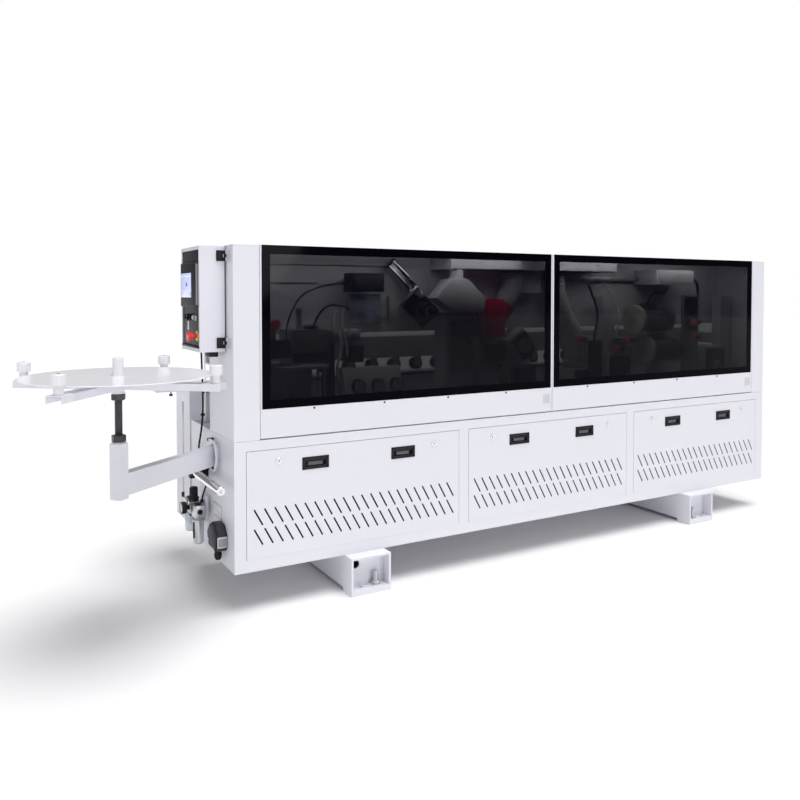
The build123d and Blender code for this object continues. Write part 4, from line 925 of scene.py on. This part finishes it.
# ---------------------------------------------------------------- board transport
@dataclass
class Transport:
    """Chain track with its rubber pads."""

    pad_pitch: float = 60.0
    end_gap: float = 25.0
    pad_gap: float = 1.5

    def build(self) -> None:
        """Model the track, the chain pads and the sprocket covers."""
        (left, right), (near, far), (low, high) = spans("conveyor_track")
        shapes: list[Shape] = [
            Slab((left + 22, right - 22), (near + 10, far - 10), (low, high - 12), PALE_PAINT, 1.5),
            Slab((left + 20, right - 20), (near + 2, far - 2), (high - 12, high - 6), BARE_STEEL, 0.5),
        ]
        first, length = left + self.end_gap, right - left - 2 * self.end_gap
        count = round(length / self.pad_pitch)
        pitch = length / count
        shapes += [Slab((first + i * pitch + self.pad_gap, first + (i + 1) * pitch - self.pad_gap),
                        (near, far), (high - 6, high), RUBBER, 1) for i in range(count)]
        shapes += [Turned("y", (x, high - 20), ((18, near + 1), (20, near + 3), (20, far - 3),
                                                (18, far - 1)), BLACK_STEEL, 40)
                   for x in (left + 20, right - 20)]
        assemble("chain_track", "machine_frame", shapes, ("conveyor_track",))


# ---------------------------------------------------------------- working units
def slotted(x: Span, y: float, z: Span, count: int, finish: Finish) -> list[Shape]:
    """Row of upright ventilation bars across a front face."""
    pitch = (x[1] - x[0]) / count
    return [Slab((x[0] + i * pitch, x[0] + (i + 0.45) * pitch), (y - 1.5, y + 1), z, finish, 0.5)
            for i in range(count)]


def gauge(x: float, y: float, z: float, radius: float) -> list[Shape]:
    """Pressure gauge facing the front."""
    return [
        Turned("y", (x, z), ((radius - 2, y + 24), (radius, y + 22), (radius, y + 2), (radius - 2, y),
                             (radius - 5, y), (radius - 5, y + 3)), BLACK_PLASTIC, 40),
        Turned("y", (x, z), ((radius - 5, y + 3.2), (radius - 5, y + 2.6)), DIAL, 40),
        Slab((x - 1, x + 1), (y + 1.6, y + 2.4), (z - 4, z + radius - 10), BLACK_PLASTIC, 0.2, 35),
        Turned("y", (x, z), ((4, y + 2.6), (4, y + 1), (3, y + 0.6)), BLACK_STEEL, 16),
    ]


def counter(x: float, y: float, z: float) -> list[Shape]:
    """Position counter with an orange body, on a knobbed adjusting screw."""
    return [
        Slab((x - 16, x + 16), (y - 22, y + 22), (z - 20, z + 20), ORANGE_PLASTIC, 4),
        Slab((x - 11, x + 11), (y - 23, y - 21), (z - 2, z + 13), BLACK_PLASTIC, 0.8),
        Turned("y", (x, z), ((5, y + 40), (5, y - 30), (13, y - 30), (15, y - 33), (15, y - 42),
                             (13, y - 45)), BLACK_PLASTIC, 24),
    ]


@dataclass
class GlueStation:
    """Tape magazine, glue pot, pressure roller and gauge cabinet behind the left door."""

    magazine: Span = (272.0, 527.0)
    gauge_radius: float = 36.0

    def build(self) -> None:
        """Model the station over its CAD node."""
        magazine, rods = self.magazine, range(290, 520, 37)
        shapes: list[Shape] = [
            Slab(magazine, (150, 360), (BED_TOP, 700), PALE_PAINT, 2),
            Slab(magazine, (150, 520), (878, 895), PALE_PAINT, 2),
            Slab((285, 515), (340, 356), (700, 878), PALE_PAINT, 1.5),
            Slab(magazine, (152, 156), (700, 712), ALUMINIUM, 1),
        ]
        shapes += [Turned("z", (x, 170), ((5, 700), (5, 878)), BARE_STEEL, 16) for x in rods]
        shapes += [Turned("z", (x, 170), ((9, z), (9, z + 12)), WHITE_PLASTIC, 20)
                   for x in rods for z in (716, 852)]
        shapes += [
            Slab((349, 543), (190, 360), (895, 1069), ALUMINIUM, 4),
            Slab((355, 537), (186, 192), (905, 960), BLACK_PAINT, 2),
            Slab((372, 520), (184, 190), (975, 1052), BARE_STEEL, 2),
            Slab((257, 349), (190, 290), (934, 1019), BLACK_PAINT, 3),
            Slab((263, 343), (186, 192), (944, 1008), DARK_PLASTIC, 2),
            Turned("z", (403, 230), ((17, 1069), (17, 1080), (13, 1082), (13, 1150), (17, 1152), (17, 1172),
                                     (8, 1175)), BARE_STEEL, 32),
            Turned("z", (470, 240), ((38, 1069), (38, 1084), (30, 1088), (10, 1090)), BLACK_STEEL, 40),
            Slab((543, 600), (240, 280), (BED_TOP, 1000), BLACK_PAINT, 2),
            Slab((543, 745), (240, 280), (1000, 1030), ALUMINIUM, 3),
            Slab((665, 738), (190, 330), (898, 982), BLACK_PAINT, 4),
            Slab((690, 712), (240, 280), (982, 1000), BARE_STEEL, 1),
            Turned("y", (271, 1094), ((24, 222), (27, 219), (27, 203), (24, 200), (8, 200), (8, 194)),
                   RED_PLASTIC, 40),
            Slab((262, 280), (222, 290), (1019, 1110), ALUMINIUM, 2),
        ]
        shapes += bolts([(x, z) for x in (366, 526) for z in (985, 1045)], 190, 6, 5, BLACK_STEEL)
        shapes += slotted((675, 728), 190, (905, 975), 6, DARK_PLASTIC)
        shapes += [Turned("y", (x, 1047), ((17, 275), (19, 273), (19, 207), (17, 205), (6, 205), (6, 198)),
                          finish, 36) for x, finish in ((560, BARE_STEEL), (610, WHITE_PLASTIC),
                                                        (660, WHITE_PLASTIC), (710, WHITE_PLASTIC))]
        shapes += [
            Plate("x", ((140, BED_TOP), (140, 742), (180, 873), (230, 873), (230, BED_TOP)), (612, 942),
                  PALE_PAINT, 2),
            Slab((676, 853), (226, 229.5), (1094, 1238), CLEAR_PANEL, 1),
            *(Slab((672, 857), (224, 231), (z, z + 7), ALUMINIUM, 1) for z in (1088, 1237)),
            Slab((677, 859), (196, 300), (1254, 1349), BLACK_PAINT, 4),
            Slab((690, 846), (193, 197), (1266, 1336), DARK_PLASTIC, 2),
            Turned("z", (911, 250), ((8, 1120), (8, 1200), (10, 1202), (10, 1216)), BARE_STEEL, 20),
            Turned("z", (911, 250), ((10, 1216), (10, 1226), (8, 1230)), ORANGE_PLASTIC, 20),
            Slab((896, 926), (240, 371), (1100, 1122), ALUMINIUM, 2),
            Slab((700, 730), (300, 371), (1290, 1320), ALUMINIUM, 1),
            Slab((745, 775), (230, 371), (1120, 1150), ALUMINIUM, 1),
        ]
        for x in (686, 795, 903):
            shapes += gauge(x, 134, 782, self.gauge_radius)
        shapes += [Turned("y", (x, 690), ((11, 142), (11, 132), (9, 128), (4, 128), (4, 120)),
                          BLACK_PLASTIC, 24) for x in (650, 740, 830, 905)]
        shapes += [
            Tube(((600, 210, 1170), (575, 205, 1120), (590, 200, 1060), (620, 196, 1000), (604, 190, 930),
                  (580, 186, 870), (596, 184, 800)), 7, TUBE_WHITE),
            Tube(((640, 215, 1180), (620, 205, 1110), (628, 200, 1050), (648, 192, 985), (640, 186, 930)),
                 5, TUBE_WHITE),
            Tube(((480, 225, 1090), (500, 215, 1150), (560, 220, 1190), (640, 230, 1185), (700, 240, 1155)),
                 5, RUBBER),
            Tube(((330, 215, 1019), (325, 205, 1090), (360, 205, 1170), (403, 220, 1230), (460, 240, 1260),
                  (560, 260, 1290), (680, 270, 1300)), 4, RUBBER),
        ]
        assemble("glue_station", "machine_frame", shapes, ("glue_unit",))
        self.back_fittings()

    def back_fittings(self) -> None:
        """Trays and boxes on the hood's back wall."""
        shapes: list[Shape] = [
            Slab((140, 560), (355, BACK_WALL), (1300, 1308), PALE_PAINT, 1),
            Slab((140, 1150), (340, BACK_WALL), (1392, 1426), PALE_PAINT, 2),
            Slab((160, 262), (300, BACK_WALL), (1180, 1290), PALE_PAINT, 3),
            Slab((168, 254), (297, 301), (1190, 1280), DARK_PLASTIC, 1),
            Slab((2050, 2830), (330, BACK_WALL), (1325, 1352), BARE_STEEL, 1.5),
            Slab((2826, 3175), (180, BACK_WALL), (1305, 1399), WHITE_PAINT, 4),
            Slab((2850, 3150), (176, 181), (1318, 1386), PALE_PAINT, 1.5),
        ]
        shapes += bolts([(x, 1409) for x in range(200, 1150, 150)], 340, 5, 4, BLACK_STEEL)
        shapes += bolts([(x, 1338) for x in range(2100, 2830, 120)], 330, 6, 4, BLACK_STEEL)
        shapes.append(Tube(((3175, 240, 1350), (3230, 230, 1352), (3275, 225, 1300), (3270, 225, 1200),
                            (3240, 225, 1120), (3230, 230, 1040)), 9, RUBBER))
        assemble("back_wall_fittings", "machine_frame", shapes)


@dataclass
class EndTrimmer:
    """Slanted slide with the end-trimming carriage and its motor."""

    def build(self) -> None:
        """Model the fixed rail and the moving carriage."""
        start, end = Vector((958, 0, 1412)), Vector((1220, 0, 1151))
        run = end - start
        length, slope = run.length, math.degrees(math.atan2(run.z, run.x))
        along, across = run.normalized(), Vector((-run.z, 0, run.x)).normalized()

        def tilted(u: Span, v: Span, y: Span, finish: Finish, ease: float = 2.0) -> Slab:
            """Block placed by its spans along and across the rail."""
            place = start + along * (sum(u) / 2) + across * (sum(v) / 2)
            wide, tall = u[1] - u[0], v[1] - v[0]
            return Slab((place.x - wide / 2, place.x + wide / 2), y,
                        (place.z - tall / 2, place.z + tall / 2), finish, ease, slope)

        rail: list[Shape] = [tilted((0, length), (-30, 30), (312, 371), ALUMINIUM, 3)]
        rail += [tilted((6, length - 6), (v - 7, v + 7), (300, 313), CHROME, 2) for v in (-20, 20)]
        rail += [tilted((u, u + 14), (-34, 34), (304, 340), BLACK_PAINT, 2) for u in (0, length - 14)]
        assemble("end_trim_slide", "machine_frame", rail, ("end_trim_rail",))
        moving: list[Shape] = [
            tilted((190, 390), (-130, 20), (283, 299.6), ALUMINIUM, 3),
            tilted((200, 380), (-122, 12), (270, 284), BLACK_PAINT, 3),
            tilted((210, 250), (-30, 10), (256, 272), ALUMINIUM, 3),
            tilted((330, 380), (-30, 10), (258, 272), BLACK_PAINT, 3),
        ]
        shaft = start + along * 300 + across * -70
        motor = (shaft.x, shaft.z)
        moving += [
            Turned("y", motor, ((50, 272), (50, 240), (46, 236), (46, 178), (42, 172), (20, 170),
                                (20, 162)), BLACK_PAINT, 48),
            Turned("y", motor, ((49, 232), (49, 228)), ALUMINIUM, 48),
            Turned("y", motor, ((30, 171), (30, 166), (12, 163)), BARE_STEEL, 32),
        ]
        assemble("end_trim_slide_carriage", "end_trimmer", moving, ("end_trim_carriage",))


@dataclass
class TrimmingStation:
    """Rough, fine and corner trimming heads behind the middle of the doors."""

    def head(self, x: Span, top: float, steps: int) -> list[Shape]:
        """One trimming column with its plate, motors and adjusters."""
        (left, right), middle = x, sum(x) / 2
        shapes: list[Shape] = [
            Slab(x, (250, 360), (BED_TOP, top), PALE_PAINT, 3),
            Slab((left + 12, right - 12), (232, 251), (BED_TOP + 40, top - 20), ALUMINIUM, 3),
            Slab((left + 20, right - 20), (172, 233), (top - 130, top - 40), BLACK_PAINT, 5),
            Slab((left + 26, right - 26), (196, 233), (BED_TOP + 60, BED_TOP + 120), BARE_STEEL, 3),
        ]
        shapes += slotted((left + 28, right - 28), 172, (top - 124, top - 46), steps, DARK_PLASTIC)
        shapes += bolts([(px, z) for px in (left + 20, right - 20) for z in (BED_TOP + 50, top - 32)],
                        232, 6, 5, BLACK_STEEL)
        shapes += counter(middle, 200, top - 160)
        shapes.append(Turned("y", (middle, BED_TOP + 90),
                             ((24, 200), (26, 198), (26, 186), (22, 182), (8, 182)), BARE_STEEL, 36))
        return shapes

    def build(self) -> None:
        """Model the station over its CAD node."""
        shapes = self.head((1266, 1453), 1140, 7) + self.head((1500, 1650), 1000, 6)
        shapes += self.head((1700, 1860), 860, 5)
        shapes += [
            Slab((1705, 1835), (210, 330), (865, 1035), PALE_PAINT, 4, 35),
            Slab((1718, 1822), (184, 212), (880, 1020), BLACK_PAINT, 6, 35),
            Turned("y", (1770, 950), ((44, 186), (46, 184), (46, 181), (18, 180), (18, 172)),
                   ALUMINIUM, 40),
            Slab((2150, 2270), (200, 360), (BED_TOP, 802), PALE_PAINT, 4),
            Slab((2160, 2260), (176, 202), (640, 790), BLACK_PAINT, 5),
            Turned("z", (2210, 265), ((66, 800), (66, 808), (60, 810)), DARK_PLASTIC, 48),
        ]
        shapes += counter(2202, 190, 973) + counter(2501, 190, 902) + counter(2600, 190, 956)
        shapes += [Slab((2186, 2218), (206, 300), (803, 990), ALUMINIUM, 2),
                   Slab((2440, 2640), (214, 300), (BED_TOP, 880), PALE_PAINT, 4),
                   Slab((2456, 2624), (196, 216), (640, 860), BLACK_PAINT, 5),
                   Slab((2470, 2610), (205, 250), (880, 972), ALUMINIUM, 3),
                   Slab((2290, 2400), (240, 350), (BED_TOP, 980), PALE_PAINT, 4),
                   Slab((2300, 2390), (206, 242), (720, 960), BLACK_PAINT, 6)]
        shapes += slotted((2470, 2610), 196, (660, 840), 8, DARK_PLASTIC)
        shapes += [Tube(((1340, 200, 1140), (1345, 190, 1170), (1400, 186, 1180), (1450, 190, 1120),
                         (1460, 196, 1040), (1480, 200, 960)), 6, RUBBER),
                   Tube(((2330, 215, 960), (2325, 205, 1020), (2350, 205, 1090), (2360, 230, 1180),
                         (2350, 290, 1300)), 7, RUBBER),
                   Tube(((2520, 215, 972), (2515, 205, 1030), (2535, 210, 1110), (2530, 250, 1200),
                         (2500, 310, 1320)), 5, TUBE_WHITE)]
        assemble("trimming_station", "machine_frame", shapes, ("trimming_unit",))


@dataclass
class BuffingStation:
    """Two buffing motors with cotton wheels, on a column beside the outfeed end."""

    centre_y: float = 250.0
    heights: Span = (1080.0, 885.0)
    motor_length: float = 290.0
    motor_radius: float = 78.0
    fins: int = 20

    def motor(self, start: float, z: float) -> list[Shape]:
        """Finned motor along x with its flange, fan cowl and terminal box."""
        y, radius, end = self.centre_y, self.motor_radius, start + self.motor_length
        core = radius - 9
        shapes: list[Shape] = [
            Turned("x", (y, z), ((12, start - 38), (12, start - 1), (radius, start), (radius, start + 12),
                                 (core, start + 16), (core, end - 70), (radius - 2, end - 68),
                                 (radius, end - 60), (radius, end - 12), (radius - 10, end)),
                   MOTOR_PAINT, 64),
            Slab((start + 60, start + 150), (y - 40, y + 40), (z + radius - 14, z + radius + 24),
                 MOTOR_PAINT, 4),
            Slab((start + 66, start + 144), (y - 34, y + 34), (z + radius + 23, z + radius + 27),
                 DARK_PLASTIC, 1.5),
        ]
        for k in range(self.fins):
            turn = 2 * math.pi * k / self.fins
            fy, fz = y + (radius - 5) * math.cos(turn), z + (radius - 5) * math.sin(turn)
            shapes.append(Turned("x", (fy, fz), ((2.4, start + 16), (2.4, end - 70)), MOTOR_PAINT, 6))
        shapes += [Turned("x", (y, z), ((ring, end - 0.5), (ring, end + 1)), BLACK_PLASTIC, 40)
                   for ring in (60, 44, 28)]
        return shapes

    def build(self) -> None:
        """Model the motors, their column and the two wheels."""
        def before_end(near: float, far: float) -> Span:
            """Span along x between two distances before the outfeed end."""
            return BODY_LENGTH - near, BODY_LENGTH - far

        starts = before_end(929, 841)
        shapes: list[Shape] = []
        for start, z in zip(starts, self.heights):
            shapes += self.motor(start, z)
        upper, middle, y = starts[0], starts[1] + 130, self.centre_y
        shapes += [
            Slab((middle - 60, middle + 60), (y + 20, y + 60), (BED_TOP, self.heights[0] - 40),
                 PALE_PAINT, 3),
            Slab((middle - 70, middle + 70), (y - 60, y + 60), (BED_TOP, 612), PALE_PAINT, 3),
            Slab(before_end(536, 391), (206, 230), (BED_TOP, 1238), ALUMINIUM, 3),
            Slab(before_end(524, 403), (198, 207), (1000, 1226), BLACK_PAINT, 3),
            Slab(before_end(360, 154), (180, 360), (BED_TOP, 893), PALE_PAINT, 5),
            Slab(before_end(348, 166), (172, 182), (620, 880), BLACK_PAINT, 4),
            Turned("y", (BODY_LENGTH - 257, 760), ((40, 173), (42, 170), (42, 160), (36, 156), (12, 156),
                                                   (12, 148)), BARE_STEEL, 44),
            Slab(before_end(262, 252), (140, 150), (700, 770), BLACK_PLASTIC, 3, 30),
        ]
        shapes += bolts([(x, z) for x in before_end(520, 407) for z in (1010, 1110, 1215)], 198, 7, 5,
                        BARE_STEEL)
        shapes += counter(BODY_LENGTH - 464, 176, 1060) + counter(BODY_LENGTH - 464, 176, 960)
        shapes += [Tube(tuple((upper + x, y, z) for x, y, z in (
            (105, 250, 1185), (110, 240, 1230), (170, 235, 1260), (260, 250, 1240), (330, 280, 1300))),
            7, RUBBER)]
        assemble("buffing_station", "machine_frame", shapes, ("buffing_motors",))
        for name, start, z in zip(("upper", "lower"), starts, self.heights):
            face = start - 0.3
            wheel = [
                Turned("x", (y, z), ((88, face - 28), (95, face - 24), (93.5, face - 19), (95, face - 14),
                                     (93.5, face - 9), (95, face - 4), (88, face)), COTTON, 72),
                Turned("x", (y, z), ((32, face - 27), (32, face - 31), (28, face - 33), (14, face - 33)),
                       BARE_STEEL, 40),
            ]
            assemble(f"cotton_wheel_{name}", f"{name}_buffing_wheel", wheel,
                     (f"buffing_wheel_{name}",))


@dataclass
class Extraction:
    """Dust duct, collecting hoods and corrugated hoses."""

    hose_radius: float = 61.0
    rib_pitch: float = 13.0
    rib_height: float = 2.5

    def build(self) -> None:
        """Model the duct with its hoods, then the hoses."""
        duct_low, duct_high = HOOD_TOP - 80, HOOD_TOP - 10
        shapes: list[Shape] = [
            Slab((1250, 2450), (160, BACK_WALL), (duct_low, duct_high), WHITE_PAINT, 3),
            *(Slab((x, x + 8), (156, BACK_WALL), (duct_low - 4, duct_high + 4), WHITE_PAINT, 2)
              for x in (1244, 2448)),
            Plate("y", ((1150, 1222), (1239, 1325), (1351, 1325), (1472, 1222), (1453, 1140.6),
                        (1270, 1140.6)), (150, 248), WHITE_PAINT, 3),
            Turned("z", (1310, 205), ((44, 1320), (44, 1332), (38, 1334), (38, duct_low)), WHITE_PAINT, 48),
            Slab((1513, 1633), (190, 350), (1002, 1216), RED_PAINT, 8),
            Slab((1505, 1641), (184, 356), (1000.5, 1012), RED_PAINT, 3),
            Slab((1830, 1970), (281, BACK_WALL), (1250, duct_low), WHITE_PAINT, 3),
            Turned("y", (1900, 1320), ((58, 370.5), (58, 376), (60, 376), (60, 454), (56, 454), (56, 378)),
                   WHITE_PAINT, 56),
            Tube(((1685, 280, 1178), (1664, 278.5, 1149), (1643, 277, 1120), (1622, 276, 1095)), 62,
                 RED_PAINT, sides=40),
            *(Turned("z", (x, 285), ((68, duct_low + 1), (68, duct_low - 12), (66, duct_low - 13)),
                     DARK_PLASTIC, 48) for x in (1750, 2075)),
        ]
        shapes += bolts([(x, duct_low + 35) for x in range(1290, 2450, 145)], 160, 5, 4, BLACK_STEEL)
        assemble("dust_duct_and_hoods", "machine_frame", shapes, ("extraction_hoods",))
        hoses: list[Shape] = [
            Tube(route, self.hose_radius, HOSE_SKIN, self.rib_pitch, self.rib_height, 40) for route in (
                ((1750, 285, duct_low), (1750, 285, 1325), (1750, 285, 1275), (1720, 283, 1222),
                 (1685, 280, 1178)),
                ((2075, 285, duct_low), (2075, 285, 1315), (2078, 284, 1255), (2100, 280, 1185),
                 (2132, 276, 1105), (2186, 268, 1035), (2210, 265, 960), (2210, 265, 880),
                 (2210, 265, 810.5)))]
        assemble("corrugated_hoses", "machine_frame", hoses, ("hoses_and_cables",))


# ---------------------------------------------------------------- studio
@dataclass
class Studio:
    """Camera, pale floor and soft lights round the machine."""

    lens: float = 34.74
    yaw: float = 29.67
    pitch: float = -1.67
    eye: Point = (-2.8393, -3.7779, 1.4188)
    shift_y: float = -0.1033
    floor_size: float = 80.0
    sky: float = 0.24

    def camera(self) -> None:
        """Stand the camera at the front left corner."""
        data = bpy.data.cameras.new("camera")
        data.lens, data.sensor_width, data.shift_y = self.lens, 36, self.shift_y
        data.clip_end = 200
        made = hold("camera", data)
        made.location = self.eye
        made.rotation_euler = (math.radians(90 + self.pitch), 0, -math.radians(self.yaw))
        bpy.context.scene.camera = made

    def light(self, name: str, kind: str, place: Point, aim: Point, energy: float, size: float,
              size_y: float = 0.0) -> None:
        """Add one lamp looking from a place to an aim, both in metres.

        Args:
            name: the lamp's name.
            kind: SUN or AREA.
            place: where it stands.
            aim: what it looks at.
            energy: strength of a sun, or watts of an area lamp.
            size: spread of a sun in degrees, or width of an area lamp in metres.
            size_y: height of an area lamp in metres, where it isn't square.
        """
        data = bpy.data.lights.new(name, kind)
        data.energy = energy
        if kind == "SUN":
            data.angle = math.radians(size)
        else:
            data.size = size
            if size_y:
                data.shape = "RECTANGLE"
                data.size_y = size_y
        made = hold(name, data)
        made.location = place
        made.rotation_euler = (Vector(aim) - Vector(place)).to_track_quat("-Z", "Y").to_euler()

    def surroundings(self) -> None:
        """White floor and an even pale sky that looks white to the camera."""
        clear_selection()
        bpy.ops.mesh.primitive_plane_add(size=self.floor_size, location=(0, 0, FLOOR - 0.0005))
        floor = bpy.context.object
        floor.name = "studio_floor"
        paper = Finish("studio_paper", (0.90, 0.90, 0.90), 0.9, mottle=0.002, bump=0.0)
        floor.data.materials.append(paper.material())
        bpy.ops.object.transform_apply(location=True, rotation=True, scale=True)
        world = bpy.data.worlds.new("studio")
        bpy.context.scene.world = world
        world.use_nodes = True
        nodes, links = world.node_tree.nodes, world.node_tree.links
        sky = nodes["Background"]
        sky.inputs["Color"].default_value = (0.97, 0.97, 1.0, 1)
        sky.inputs["Strength"].default_value = self.sky
        seen = nodes.new("ShaderNodeBackground")
        seen.inputs["Color"].default_value = (1, 1, 1, 1)
        choice, ray = nodes.new("ShaderNodeMixShader"), nodes.new("ShaderNodeLightPath")
        links.new(ray.outputs["Is Camera Ray"], choice.inputs["Fac"])
        links.new(sky.outputs["Background"], choice.inputs[1])
        links.new(seen.outputs["Background"], choice.inputs[2])
        links.new(choice.outputs["Shader"], nodes["World Output"].inputs["Surface"])
        bpy.context.scene.view_settings.view_transform = "Standard"

    def lamps(self) -> None:
        """Three broad suns, from above, the front and the left, and strips under the hood's top sheet."""
        self.light("top_sun", "SUN", (0.5, -1.2, 6.0), (0, 0, 0), 3.0, 45)
        self.light("front_sun", "SUN", (1.4, -6.0, 0.8), (0, 0, 0), 0.50, 20)
        self.light("left_sun", "SUN", (-6.0, -1.5, 0.8), (0, 0, 0), 0.34, 30)
        for number, x in enumerate((950, 2700)):
            self.light(f"hood_strip_{number}", "AREA", tuple(at(x, 90, HOOD_TOP - 25)),
                       tuple(at(x, 300, 900)), 6, 1.5, 0.06)


def main() -> None:
    """Build every sub-assembly in order."""
    logging.basicConfig(level=logging.INFO, format="%(message)s")
    studio = Studio()
    studio.camera()
    clear_selection()
    cabinet = Cabinet()
    cabinet.dress()
    cabinet.trim()
    for side in ("left", "right"):
        DoorGlass(side).build()
    for side in ("left", "centre", "right"):
        LiftOffPanel(side).build()
    TapeReel().build()
    ControlBox().build()
    fittings = InfeedFittings()
    fittings.air_unit()
    fittings.power_inlet()
    fittings.guide_bar()
    fittings.lines()
    Transport().build()
    GlueStation().build()
    EndTrimmer().build()
    TrimmingStation().build()
    BuffingStation().build()
    Extraction().build()
    studio.surroundings()
    studio.lamps()


if __name__ == "__main__":
    main()
